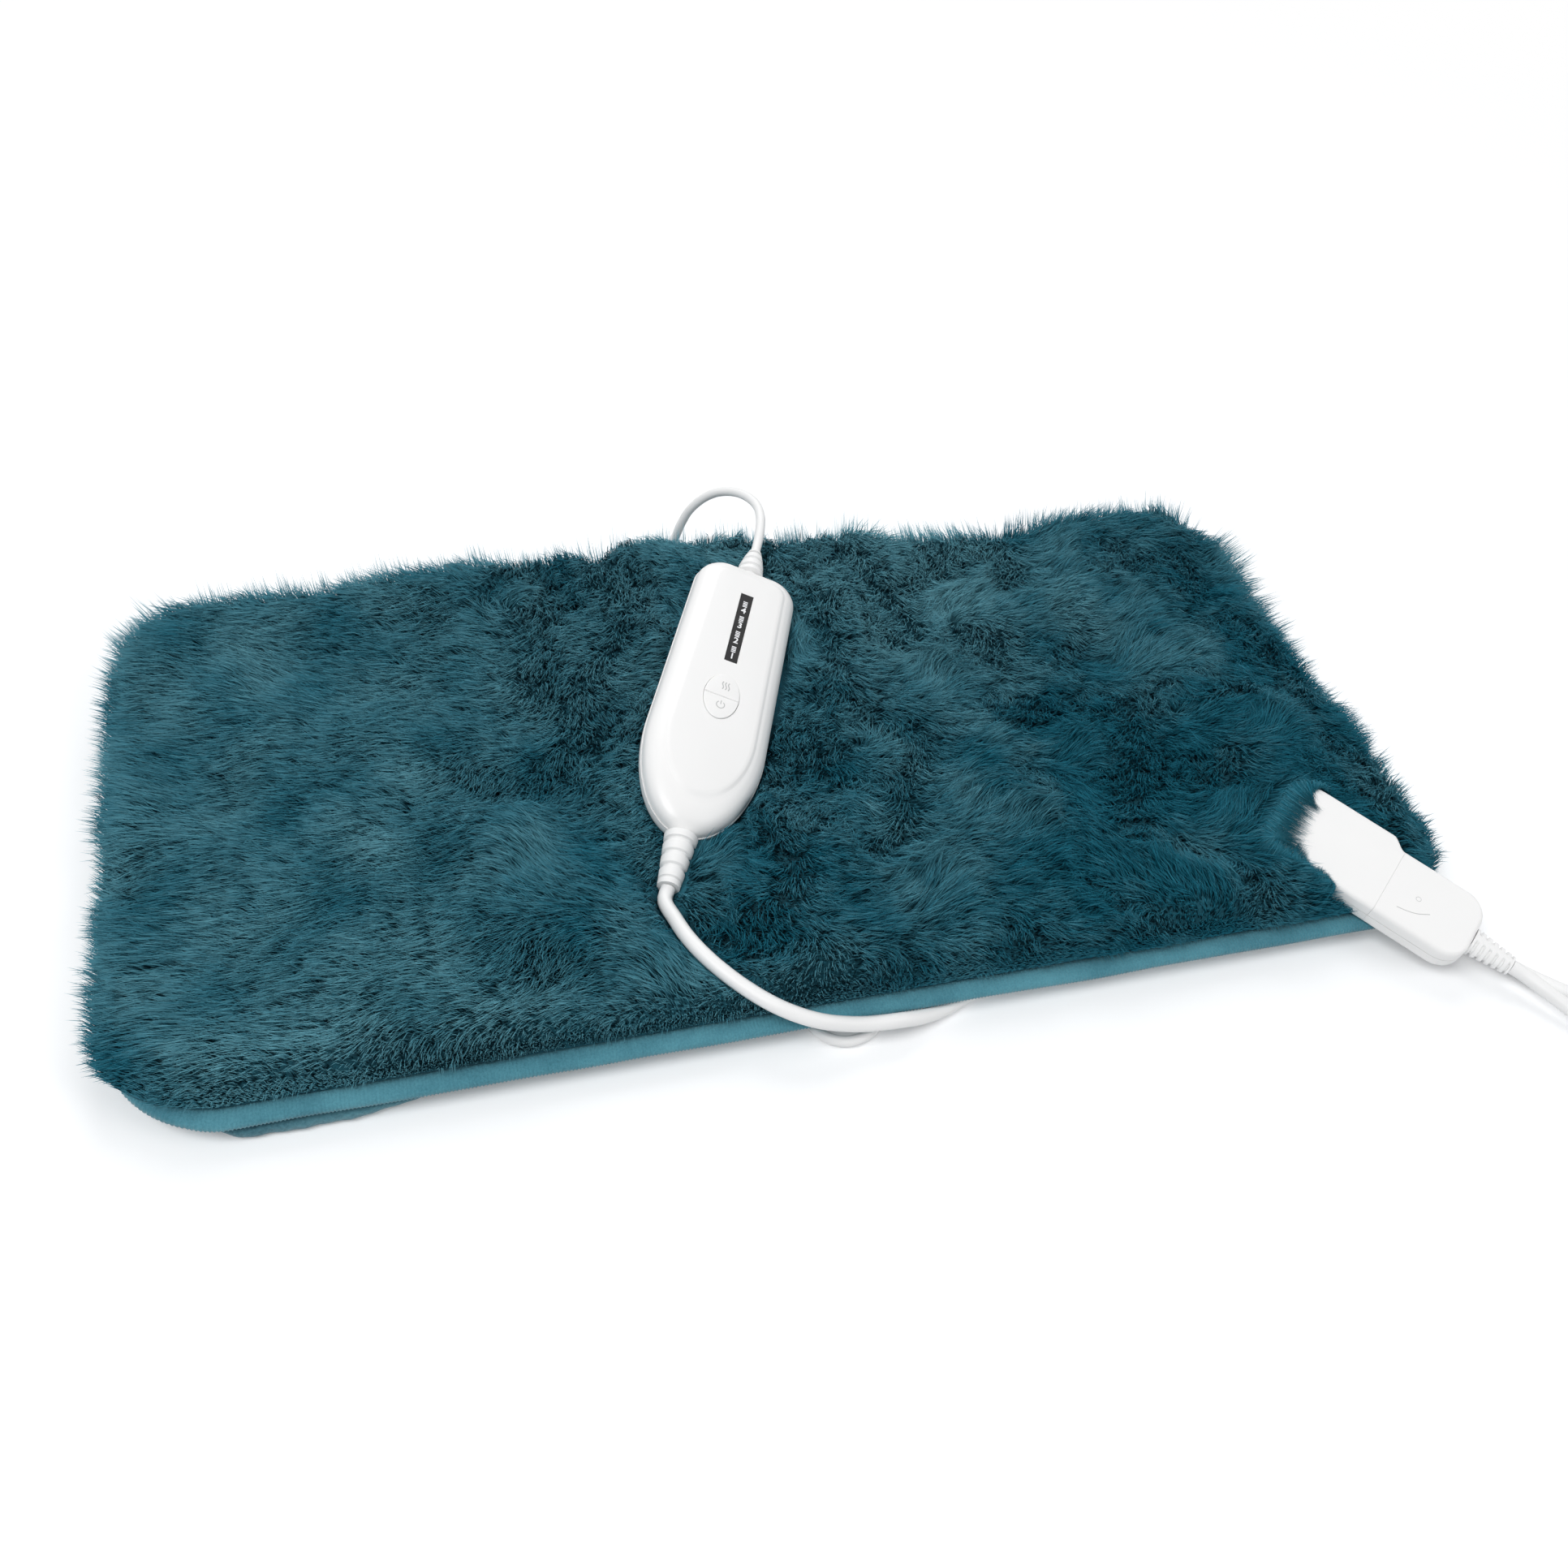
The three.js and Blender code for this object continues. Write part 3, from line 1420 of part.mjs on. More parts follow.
const topSleeve = relief(
  topEnd,
  topReliefSeat,
  topReliefLength,
  topReliefRadius,
  topReliefTip,
  topReliefRibs,
  topReliefBulgeShare,
);
const tipSleeve = relief(
  topEnd,
  tipReliefSeat,
  tipReliefLength,
  tipReliefRadius,
  tipReliefTip,
  tipReliefRibs,
  0,
);
piece("top_relief", topSleeve, white, controller);
piece("tip_relief", tipSleeve.rotateZ(Math.PI), white, controller);

// Connector
piece("socket_top", socketShell(true), white, connector);
const tailHoles = wireTails.map((tail) => localTail(tail));
piece("socket_bottom", cut(socketShell(false), ...tailHoles), white, connector);
piece("socket_block", socketBlock(), dark, connector);
copies("socket_pin", contactsAt.map(socketPin), metal(0xd0c49a), connector);
piece("plug_top", plugShell(true), white, connector);
piece("plug_bottom", plugShell(false), white, connector);
piece("plug_insert", plugInsert(), dark, connector);
copies("plug_contact", contactsAt.map(plugContact), metal(0xd0c49a), connector);
piece("plug_relief", plugRelief(), white, connector);
copies(
  "plug_screw",
  plugScrews.map(([x, y]) => post(x, y, -plugThick + gap, -plugWall - 2 * gap, plugScrewRadius)),
  metal(0x9b9ea3),
  connector,
);

function localTail({ x, y, z }) {
  const back = connector.matrixWorld.clone().invert();
  return post(x, y, z - plugThick, z + overrun, wireRadius + 1.5 * gap, 8).applyMatrix4(back);
}

// Cords
const cordWhite = plastic(0xdfe1e3);
piece("lead_cord", cordTube(leadRoute, leadRadius, 62), cordWhite);
piece("mains_cord", cordTube(mainsRoute, mainsRadius, 20), cordWhite);
piece("mains_run", cordTube(underRoute, mainsRadius, 60), cordWhite);
const hankLine = hankRoute(24);
piece("mains_hank", tube(hankLine, mainsRadius, 6), cordWhite);
piece("cord_tie", cordTie(), dark);
piece("mains_plug", mainsPlugBody(), cordWhite);
const pinYs = [mainsPlugY - mainsPinSpacing / 2, mainsPlugY + mainsPinSpacing / 2];
copies(
  "mains_plug_pin",
  pinYs.map((y) =>
    lying(mainsPlugEnd - mainsPinLength, mainsPlugEnd - gap, y, mainsPlugZ, mainsPinRadius, mainsPinRadius),
  ),
  metal(0xc9ccd0),
  part,
);
piece(
  "mains_plug_relief",
  lying(
    mainsPlugEnd + mainsPlugLength + gap,
    mainsReliefEnd,
    mainsPlugY,
    mainsPlugZ,
    mainsReliefBase,
    mainsReliefTip,
  ),
  cordWhite,
);

const fineHank = hankRoute(240);
console.log("least gap between the hank's turns", leastSelfGap(fineHank, mainsRadius, 60).toFixed(2), "mm");
const routeLength = (route) => new THREE.CatmullRomCurve3(route, false, "centripetal").getLength();
let hankLength = 0;
fineHank.forEach((p, i) => {
  if (i > 0) hankLength += p.distanceTo(fineHank[i - 1]);
});
console.log("lead cord", Math.round(routeLength(leadRoute)), "mm");
console.log("mains cord", Math.round(routeLength(mainsRoute) + hankLength + routeLength(underRoute)), "mm");

export default part;
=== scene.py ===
"""The looks of a long-pile heating pad with a hand controller, a pull-out connector and white cords."""

import math

import bpy
import numpy as np
from mathutils import Matrix


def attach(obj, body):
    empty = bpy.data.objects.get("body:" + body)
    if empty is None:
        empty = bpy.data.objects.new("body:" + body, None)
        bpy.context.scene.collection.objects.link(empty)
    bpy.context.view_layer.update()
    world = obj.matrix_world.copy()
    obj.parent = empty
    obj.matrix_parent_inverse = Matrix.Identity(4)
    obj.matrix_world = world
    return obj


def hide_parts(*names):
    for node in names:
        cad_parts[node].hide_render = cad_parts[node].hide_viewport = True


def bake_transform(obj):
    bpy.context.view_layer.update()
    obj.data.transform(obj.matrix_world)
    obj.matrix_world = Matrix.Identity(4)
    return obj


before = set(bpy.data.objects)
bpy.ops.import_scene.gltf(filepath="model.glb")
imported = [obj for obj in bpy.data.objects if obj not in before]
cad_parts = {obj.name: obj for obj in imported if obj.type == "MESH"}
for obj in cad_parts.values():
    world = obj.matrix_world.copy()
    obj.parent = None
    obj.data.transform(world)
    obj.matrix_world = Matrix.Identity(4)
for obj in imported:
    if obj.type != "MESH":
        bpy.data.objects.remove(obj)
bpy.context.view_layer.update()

MM = 0.001
RNG = np.random.default_rng(41)

# Sizes of the pad, in millimetres
PAD_LENGTH = 600
PAD_WIDTH = 300
PAD_CORNER = 42
PILE_OVERHANG = 4
FRONT_SETBACK = 5
FRONT_DRAW = 8
LEFT_DRAW = 6
PILE_TOP = 34
PILE_EDGE_TOP = 22
PILE_LENGTH = 19
SKIN_DEPTH = 8
BINDING_WIDTH = 11
BINDING_HEIGHT = 6
BINDING_DROP = 0.2
EDGE_LIFT = 7.6
EDGE_FLAT = 14.5
EDGE_FALL = 24
BACK_THICK = 1.2
FELT_THICK = 2.5
WIRE_SPACE = 1.9
WADDING_THICK = 7
WADDING_RIM = 1.5
WADDING_INSET = 8
RIDGE_X = 36
RIDGE_SLOPE = 0.285
RIDGE_FLAT = 22
RIDGE_FOOT = 32
RIDGE_LIFT = 5.6
GAP = 0.3
SOFT = 0.6

# Sizes of the controller, in its own frame: x across, y to its top end, z out of its face
CTL_LENGTH = 168
CTL_WIDTH = 60.3
CTL_TOP_WIDTH = 54.1
CTL_TIP_REACH = 55.4
CTL_CORNER = 15.3
CTL_FACE = 11
CTL_BACK = 11
CTL_WALL = 2.2
CTL_CENTRE = (-24.9, 18.2, 44)
CTL_TURNS = (24.3, 9.1, 17.4)
WINDOW_LENGTH = 45.9
WINDOW_WIDTH = 6.7
WINDOW_AT = 38.4
BUTTONS_AT = -7.3
BUTTONS_WIDTH = 17.4
BUTTONS_LENGTH = 26.6
BUTTON_SPLIT = 0.5
BUTTON_PROUD = 0.6
BUTTON_DEPTH = 3.1

# Sizes of the cords and their strain reliefs
LEAD_RADIUS = 3.4
MAINS_RADIUS = 2.5
TABLE_CLEAR = 0.05
TOP_RELIEF = (18, 7, 3.4)
TIP_RELIEF = (28, 7.85, 5.15)
RELIEF_NECK = 4.4
RELIEF_FLANGE = 6.2
RELIEF_FLANGE_THICK = 2.2
TOP_RELIEF_SEAT = 7.6
TIP_RELIEF_SEAT = 12.6

# Sizes of the connector, in its own frame: x to the near side, y outwards, z out of its top
JOINT = (257.4, -145.5, 29)
PLUG_TURNS = (139.2, -10, 9.2)
PLUG_WIDTH = 39.8
PLUG_LENGTH = 44.3
PLUG_THICK = 13
PLUG_CORNER = 12.1
PLUG_WALL = 2.2
SOCKET_LENGTH = 58
SOCKET_STEP = 5.5
SOCKET_CORNER = 13
INSERT_WIDTH = 29.4
INSERT_THICK = 6.2
PLUG_RELIEF_LENGTH = 20
PLUG_RELIEF_BASE = (15, 10.6)
PLUG_RELIEF_TIP = (10.5, 7.4)
PLUG_RELIEF_NECK = 3.7
PLUG_RELIEF_FLANGE = 12

# Sizes of the mains plug and the hank
MAINS_PLUG_WIDTH = 35.3
MAINS_PLUG_THICK = 13.7
MAINS_PLUG_LENGTH = 36
MAINS_PLUG_END = 12
MAINS_PLUG_Y = 181
MAINS_RELIEF_LENGTH = 22
MAINS_PIN_LENGTH = 19
MAINS_PIN_RADIUS = 2
MAINS_PIN_SPACING = 18.6
HANK_CENTRE = (-135, 174)
HANK_RUN = 90
HANK_INNER = 15
HANK_PITCH = 6
HANK_LAYER = 5.6
HANK_TURNS = 2.75
HANK_CLIMB = 1.5
HANK_CLIMB_SHARE = 0.25
HANK_WAIST = 9
HANK_RISE = 2
TIE_WIDTH = 10
TIE_THICK = 1.4


def turned_frame(centre, turns):
    """A frame whose y axis has an azimuth and a rise and which is banked about it: its centre and axis rows."""
    azimuth, rise, bank = np.radians(turns)
    along = np.array([np.sin(azimuth) * np.cos(rise), np.cos(azimuth) * np.cos(rise), np.sin(rise)])
    level = np.array([np.cos(azimuth), -np.sin(azimuth), 0.0])
    across = np.cos(bank) * level - np.sin(bank) * np.cross(level, along)
    return np.array(centre, float), np.array([across, along, np.cross(across, along)])


CONTROLLER = turned_frame(CTL_CENTRE, CTL_TURNS)
CONNECTOR = turned_frame(JOINT, PLUG_TURNS)


def placed(place, points):
    """Points of a turned frame in the row frame: the centre plus each coordinate times its axis."""
    centre, axes = place
    return centre + np.asarray(points, float) @ axes


def local(place, points):
    """Points of the row frame in a turned frame: the offset from the centre along each axis."""
    centre, axes = place
    return (np.asarray(points, float) - centre) @ axes.T


# Camera at the photograph's viewing angle
CAMERA_PLACE = np.array([-174.0, -518.0, 522.0])
CAMERA_YAW = math.radians(19.3)
CAMERA_PITCH = math.radians(43.7)
CAMERA_ROLL = math.radians(5.9)
FOCAL_PIXELS = 1855
PHOTO_PIXELS = 1932
SENSOR_MM = 36


def add_object(name, data):
    """A new object with its data, linked into the scene."""
    made = bpy.data.objects.new(name, data)
    bpy.context.scene.collection.objects.link(made)
    return made


def add_camera():
    """The camera looks along the yaw and pitch, and its right and up vectors turn by the roll."""
    level = math.cos(CAMERA_PITCH)
    ahead = np.array([math.sin(CAMERA_YAW) * level, math.cos(CAMERA_YAW) * level, -math.sin(CAMERA_PITCH)])
    right = np.array([math.cos(CAMERA_YAW), -math.sin(CAMERA_YAW), 0.0])
    up = np.cross(right, ahead)
    across = math.cos(CAMERA_ROLL) * right + math.sin(CAMERA_ROLL) * up
    upright = math.cos(CAMERA_ROLL) * up - math.sin(CAMERA_ROLL) * right
    data = bpy.data.cameras.new("camera")
    data.sensor_width = SENSOR_MM
    data.lens = SENSOR_MM * FOCAL_PIXELS / PHOTO_PIXELS
    data.clip_start = 0.01
    data.clip_end = 60
    matrix = np.eye(4)
    matrix[:3] = np.column_stack([across, upright, -ahead, CAMERA_PLACE * MM])
    camera = add_object("camera", data)
    camera.matrix_world = Matrix(matrix.tolist())
    bpy.context.scene.camera = camera


# Meshes from whole arrays

def add_mesh(name, points, *face_arrays, smooth=True):
    """A mesh object from points in millimetres and arrays of triangles or quads."""
    points = np.asarray(points, np.float32).reshape(-1, 3) * MM
    sizes = np.concatenate([np.full(len(faces), faces.shape[1]) for faces in face_arrays])
    corners = np.concatenate([faces.ravel() for faces in face_arrays]).astype(np.int32)
    starts = np.concatenate([[0], np.cumsum(sizes)[:-1]]).astype(np.int32)
    mesh = bpy.data.meshes.new(name)
    mesh.vertices.add(len(points))
    mesh.vertices.foreach_set("co", points.ravel())
    mesh.loops.add(len(corners))
    mesh.loops.foreach_set("vertex_index", corners)
    mesh.polygons.add(len(sizes))
    mesh.polygons.foreach_set("loop_start", starts)
    mesh.polygons.foreach_set("use_smooth", np.full(len(sizes), smooth))
    mesh.update(calc_edges=True)
    mesh.validate()
    return add_object(name, mesh)


def outward(points, *face_arrays):
    """The same face arrays, reversed if the volume they enclose is negative."""
    volume = 0.0
    for faces in face_arrays:
        a = points[faces[:, 0]]
        for k in range(1, faces.shape[1] - 1):
            volume += np.einsum("ij,ij->i", a, np.cross(points[faces[:, k]], points[faces[:, k + 1]])).sum()
    return face_arrays if volume > 0 else tuple(faces[:, ::-1] for faces in face_arrays)


def ring_faces(rings, count, closed_rings=False):
    """Quads between neighbouring rings of count points each."""
    last = rings if closed_rings else rings - 1
    ring = np.arange(last)[:, None] * count
    above = ((np.arange(last) + 1) % rings)[:, None] * count
    i = np.arange(count)[None, :]
    j = (i + 1) % count
    return np.stack([ring + i, ring + j, above + j, above + i], axis=-1).reshape(-1, 4)


def loft(name, rings, closed_rings=False, smooth=True):
    """A skin through rings of equal count, with a fan at both ends unless the rings close up."""
    rings = np.asarray(rings, float)
    number, count = rings.shape[:2]
    points = rings.reshape(-1, 3)
    quads = ring_faces(number, count, closed_rings)
    if closed_rings:
        (quads,) = outward(points, quads)
        return add_mesh(name, points, quads, smooth=smooth)
    points = np.concatenate([points, rings[:1].mean(axis=1), rings[-1:].mean(axis=1)])
    i = np.arange(count)
    j = (i + 1) % count
    start = np.stack([np.full(count, number * count), j, i], axis=1)
    base = (number - 1) * count
    end = np.stack([np.full(count, number * count + 1), base + i, base + j], axis=1)
    quads, fans = outward(points, quads, np.concatenate([start, end]))
    return add_mesh(name, points, quads, fans, smooth=smooth)


def evaluated_mesh(piece):
    """The mesh of an object with its modifiers or its bevel applied."""
    graph = bpy.context.evaluated_depsgraph_get()
    return bpy.data.meshes.new_from_object(piece.evaluated_get(graph))


def boolean(piece, tool):
    """Cuts a tool out of a piece and removes the tool."""
    modifier = piece.modifiers.new("cut", "BOOLEAN")
    modifier.operation = "DIFFERENCE"
    modifier.solver = "EXACT"
    modifier.object = tool
    mesh = evaluated_mesh(piece)
    piece.modifiers.clear()
    old = piece.data
    piece.data = mesh
    bpy.data.meshes.remove(old)
    bpy.data.objects.remove(tool)


def wear(piece, body, material, replaces=(), angle=None):
    """Gives a piece its body, material and sharp edges past an angle, and hides the CAD nodes that it stands
    for.
    """
    piece.data.materials.clear()
    piece.data.materials.append(material)
    if angle:
        piece.data.set_sharp_from_angle(angle=math.radians(angle))
    if replaces:
        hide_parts(*replaces)
    if body:
        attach(piece, body)
    return piece


# Lines and rings
CURVE_SAMPLES = 24
CORNER_SAMPLES = 24


def curve_points(route, step):
    """A centripetal Catmull-Rom curve through the route, sampled at an even step along its length."""
    p = np.asarray(route, float)
    p = np.concatenate([2 * p[:1] - p[1:2], p, 2 * p[-1:] - p[-2:-1]])
    p0, p1, p2, p3 = p[:-3], p[1:-2], p[2:-1], p[3:]
    d0, d1, d2 = (np.sqrt(np.linalg.norm(b - a, axis=1))[:, None] for a, b in ((p0, p1), (p1, p2), (p2, p3)))
    m1 = ((p1 - p0) / d0 - (p2 - p0) / (d0 + d1) + (p2 - p1) / d1) * d1
    m2 = ((p2 - p1) / d1 - (p3 - p1) / (d1 + d2) + (p3 - p2) / d2) * d1
    t = np.linspace(0, 1, CURVE_SAMPLES, endpoint=False)[None, :, None]
    fine = (2 * t**3 - 3 * t**2 + 1) * p1[:, None] + (t**3 - 2 * t**2 + t) * m1[:, None]
    fine = fine + (3 * t**2 - 2 * t**3) * p2[:, None] + (t**3 - t**2) * m2[:, None]
    return resampled(np.concatenate([fine.reshape(-1, 3), p2[-1:]]), step)


def run_lengths(points):
    """The distance along a line to each of its points."""
    return np.concatenate([[0], np.cumsum(np.linalg.norm(np.diff(points, axis=0), axis=1))])


def at_lengths(points, at):
    """Points at given distances along a line."""
    lengths = run_lengths(points)
    return np.stack([np.interp(at, lengths, column) for column in points.T], axis=1)


def resampled(points, step):
    """The same line with points an even step apart."""
    length = run_lengths(points)[-1]
    count = max(2, int(round(length / step)) + 1)
    return at_lengths(points, np.linspace(0, length, count))


def around(count):
    """The angles of a full turn in even steps."""
    return 2 * np.pi * np.arange(count) / count


def arc(x, y, radius, turn):
    """Points of a circle at the angles given."""
    return np.stack([x + radius * np.cos(turn), y + radius * np.sin(turn)], axis=1)


def signed_power(value, power):
    """The size of a value raised to a power, with the value's sign."""
    return np.sign(value) * np.abs(value) ** power


def rounded_outline(half_x, half_y, radius, step):
    """Points round a round-cornered rectangle at an even step."""
    angle = np.linspace(0, np.pi / 2, CORNER_SAMPLES)
    parts = []
    for quarter, sx, sy in ((0, 1, 1), (1, -1, 1), (2, -1, -1), (3, 1, -1)):
        parts.append(arc(sx * (half_x - radius), sy * (half_y - radius), radius, angle + quarter * np.pi / 2))
    ring = np.concatenate([*parts, parts[0][:1]])
    length = run_lengths(ring)[-1]
    return at_lengths(ring, np.linspace(0, length, int(length / step), endpoint=False))


def directions(line, closed=False):
    """The unit directions of a flat line at its points, and those square to them, to the right."""
    ahead = np.roll(line, -1, axis=0) - np.roll(line, 1, axis=0) if closed else np.gradient(line, axis=0)
    ahead /= np.linalg.norm(ahead, axis=1, keepdims=True)
    return ahead, np.stack([ahead[:, 1], -ahead[:, 0]], axis=1)


def at_level(ring, z):
    """A flat ring as points at one level."""
    return np.c_[ring, np.full(len(ring), z)]


def sections(x, y, z):
    """Rings from three arrays of coordinates that are spread to one shape."""
    return np.stack(np.broadcast_arrays(x, y, z), axis=-1)


def solid_mesh(name, curve):
    """The mesh of a bevelled curve or a letter, which is then removed."""
    holder = add_object(name + "_line", curve)
    mesh = evaluated_mesh(holder)
    bpy.data.objects.remove(holder)
    bpy.data.curves.remove(curve)
    mesh.name = name
    return mesh


def cord_mesh(name, points, radius, sides):
    """A round tube along points: a bevelled curve of one spline, made a mesh."""
    curve = bpy.data.curves.new(name, "CURVE")
    curve.dimensions = "3D"
    curve.bevel_depth = radius * MM
    curve.bevel_resolution = sides // 4 - 1
    curve.use_fill_caps = True
    curve.twist_mode = "MINIMUM"
    spline = curve.splines.new("POLY")
    spline.points.add(len(points) - 1)
    spline.points.foreach_set("co", np.c_[points * MM, np.ones(len(points))].astype(np.float32).ravel())
    spline.use_smooth = True
    return add_object(name, solid_mesh(name, curve))


# Materials

def new_group(name, inputs, outputs):
    """An empty shader node group with named inputs, given as name, kind and value, and named outputs."""
    tree = bpy.data.node_groups.new(name, "ShaderNodeTree")
    for label, kind, value in inputs:
        socket = tree.interface.new_socket(label, in_out="INPUT", socket_type=kind)
        socket.default_value = value
    for label, kind in outputs:
        tree.interface.new_socket(label, in_out="OUTPUT", socket_type=kind)
    start = tree.nodes.new("NodeGroupInput")
    end = tree.nodes.new("NodeGroupOutput")
    return tree, start, end


def node(tree, kind, values=None, **settings):
    """A node with its settings, each named or numbered input set to a value or linked to a socket."""
    made = tree.nodes.new(kind)
    for key, value in settings.items():
        setattr(made, key, value)
    for key, value in (values or {}).items():
        if isinstance(value, bpy.types.NodeSocket):
            tree.links.new(value, made.inputs[key])
        else:
            made.inputs[key].default_value = value
    return made


def calculated(tree, operation, *values):
    """The output of a math node."""
    return node(tree, "ShaderNodeMath", dict(enumerate(values)), operation=operation).outputs[0]


def ranged(tree, value, low, high, start=0.0, end=1.0):
    """A value whose range from low to high is mapped onto start to end."""
    values = {"Value": value, "From Min": low, "From Max": high, "To Min": start, "To Max": end}
    return node(tree, "ShaderNodeMapRange", values).outputs[0]


def bumped(tree, strength, distance, height):
    """The normal of a bump node."""
    values = {"Strength": strength, "Distance": distance, "Height": height}
    return node(tree, "ShaderNodeBump", values).outputs[0]


def mixed(tree, factor, first, second, blend="MIX"):
    """The colour output of a mix of two colours."""
    values = {0: factor, 6: first, 7: second}
    return node(tree, "ShaderNodeMix", values, data_type="RGBA", blend_type=blend).outputs[2]


def noise(tree, scale, detail=3.0, roughness=0.5, vector=None):
    """A noise texture, on the piece's own object coordinates unless a vector is given."""
    if vector is None:
        vector = node(tree, "ShaderNodeTexCoord").outputs["Object"]
    values = {"Vector": vector, "Scale": scale, "Detail": detail, "Roughness": roughness}
    return node(tree, "ShaderNodeTexNoise", values).outputs["Fac"]


FLOAT = "NodeSocketFloat"
COLOUR = "NodeSocketColor"
VECTOR = "NodeSocketVector"


def moulded_group():
    """Moulded plastic: faint cloudy tone, fine grain in the normal and roughness that varies a little."""
    inputs = [("Colour", COLOUR, (0.8, 0.8, 0.8, 1)), ("Tone", FLOAT, 0.03), ("Roughness", FLOAT, 0.35)]
    inputs += [("Roughness Range", FLOAT, 0.08), ("Grain Scale", FLOAT, 1800.0), ("Grain Depth", FLOAT, 0.05)]
    outputs = [("Colour", COLOUR), ("Roughness", FLOAT), ("Normal", VECTOR)]
    tree, start, end = new_group("moulded_surface", inputs, outputs)
    given = start.outputs
    shade = ranged(tree, noise(tree, 35.0, 4.0), 0.3, 0.7, 1.0, 0.0)
    amount = calculated(tree, "MULTIPLY", shade, given["Tone"])
    darker = mixed(tree, 1.0, given["Colour"], (0.72, 0.74, 0.78, 1), "MULTIPLY")
    tree.links.new(mixed(tree, amount, given["Colour"], darker), end.inputs["Colour"])
    spread = calculated(tree, "MULTIPLY", noise(tree, 60.0, 2.0), given["Roughness Range"])
    tree.links.new(calculated(tree, "ADD", spread, given["Roughness"]), end.inputs["Roughness"])
    grain = noise(tree, given["Grain Scale"], 1.0)
    tree.links.new(bumped(tree, given["Grain Depth"], 0.0001, grain), end.inputs["Normal"])
    return tree


def cloth_group():
    """Cloth: short fibre specks over a soft cloudy tone, with a nap in the normal."""
    inputs = [("Dark", COLOUR, (0.02, 0.1, 0.13, 1)), ("Light", COLOUR, (0.1, 0.3, 0.35, 1))]
    inputs += [("Fibre Scale", FLOAT, 900.0), ("Cloud Scale", FLOAT, 25.0), ("Nap", FLOAT, 0.6)]
    tree, start, end = new_group("cloth_surface", inputs, [("Colour", COLOUR), ("Normal", VECTOR)])
    given = start.outputs
    fibre = noise(tree, given["Fibre Scale"], 4.0, 0.65)
    cloud = noise(tree, given["Cloud Scale"], 3.0)
    spread = ranged(tree, calculated(tree, "ADD", fibre, cloud), 0.75, 1.25)
    tree.links.new(mixed(tree, spread, given["Dark"], given["Light"]), end.inputs["Colour"])
    tree.links.new(bumped(tree, given["Nap"], 0.0006, fibre), end.inputs["Normal"])
    return tree


def metal_group():
    """Plated metal: fine scratches as stretched noise in roughness and tone."""
    inputs = [("Colour", COLOUR, (0.7, 0.7, 0.7, 1)), ("Roughness", FLOAT, 0.3)]
    tree, start, end = new_group("plated_surface", inputs, [("Colour", COLOUR), ("Roughness", FLOAT)])
    given = start.outputs
    coords = node(tree, "ShaderNodeTexCoord").outputs["Object"]
    stretched = node(tree, "ShaderNodeMapping", {"Vector": coords, "Scale": (200, 3000, 3000)}).outputs[0]
    scratch = noise(tree, 1.0, 3.0, 0.6, stretched)
    dull = mixed(tree, 1.0, given["Colour"], (0.8, 0.79, 0.77, 1), "MULTIPLY")
    tree.links.new(mixed(tree, scratch, given["Colour"], dull), end.inputs["Colour"])
    tree.links.new(calculated(tree, "MULTIPLY_ADD", scratch, 0.2, given["Roughness"]), end.inputs["Roughness"])
    return tree


MOULDED = moulded_group()
CLOTH = cloth_group()
PLATED = metal_group()


def new_material(name, shader):
    """A material with a Principled shader, some of whose own inputs are set."""
    made = bpy.data.materials.new(name)
    made.use_nodes = True
    principled = made.node_tree.nodes["Principled BSDF"]
    for key, value in shader.items():
        principled.inputs[key].default_value = value
    return made, made.node_tree, principled


def surfaced(name, group, values, shader):
    """A material whose Principled shader takes what a surface group gives."""
    made, tree, principled = new_material(name, shader)
    look = node(tree, "ShaderNodeGroup", values, node_tree=group)
    for label, target in (("Colour", "Base Color"), ("Roughness", "Roughness"), ("Normal", "Normal")):
        if label in look.outputs:
            tree.links.new(look.outputs[label], principled.inputs[target])
    return made


def moulded(name, colour, roughness, spread, tone, grain=1800.0, depth=0.05):
    """A moulded plastic or rubber."""
    values = {"Colour": (*colour, 1), "Tone": tone, "Roughness": roughness, "Roughness Range": spread}
    return surfaced(name, MOULDED, {**values, "Grain Scale": grain, "Grain Depth": depth}, {})


def cloth(name, dark, light, fibre, cloud, nap, sheen=0.0):
    """A cloth, felt or wadding."""
    values = {"Dark": (*dark, 1), "Light": (*light, 1), "Fibre Scale": fibre, "Cloud Scale": cloud, "Nap": nap}
    return surfaced(name, CLOTH, values, {"Roughness": 0.9, "Sheen Weight": sheen})


def plated(name, colour, roughness):
    """A plated or plain metal."""
    return surfaced(name, PLATED, {"Colour": (*colour, 1), "Roughness": roughness}, {"Metallic": 1.0})


def pile_material(name, root, body, tip):
    """Long pile: a dark root that is painted shade deep in the pile, a body tone and a paler tip that is partly
    the fibre's own colour and partly painted sheen, each strand by a tint of its own.
    """
    made, tree, principled = new_material(name, {"Roughness": 0.6, "Specular IOR Level": 0.2})
    along = node(tree, "ShaderNodeAttribute", attribute_name="along").outputs["Fac"]
    tint_and_painted_light = node(tree, "ShaderNodeAttribute", attribute_name="tint_and_painted_light").outputs["Fac"]
    # The dark root colour is painted shade, and the pale tip colour is partly painted sheen
    rise = calculated(tree, "POWER", along, 0.8)
    low = mixed(tree, rise, (*root, 1), (*body, 1))
    reach = calculated(tree, "MULTIPLY", rise, tint_and_painted_light)
    tree.links.new(mixed(tree, reach, low, (*tip, 1)), principled.inputs["Base Color"])
    return made
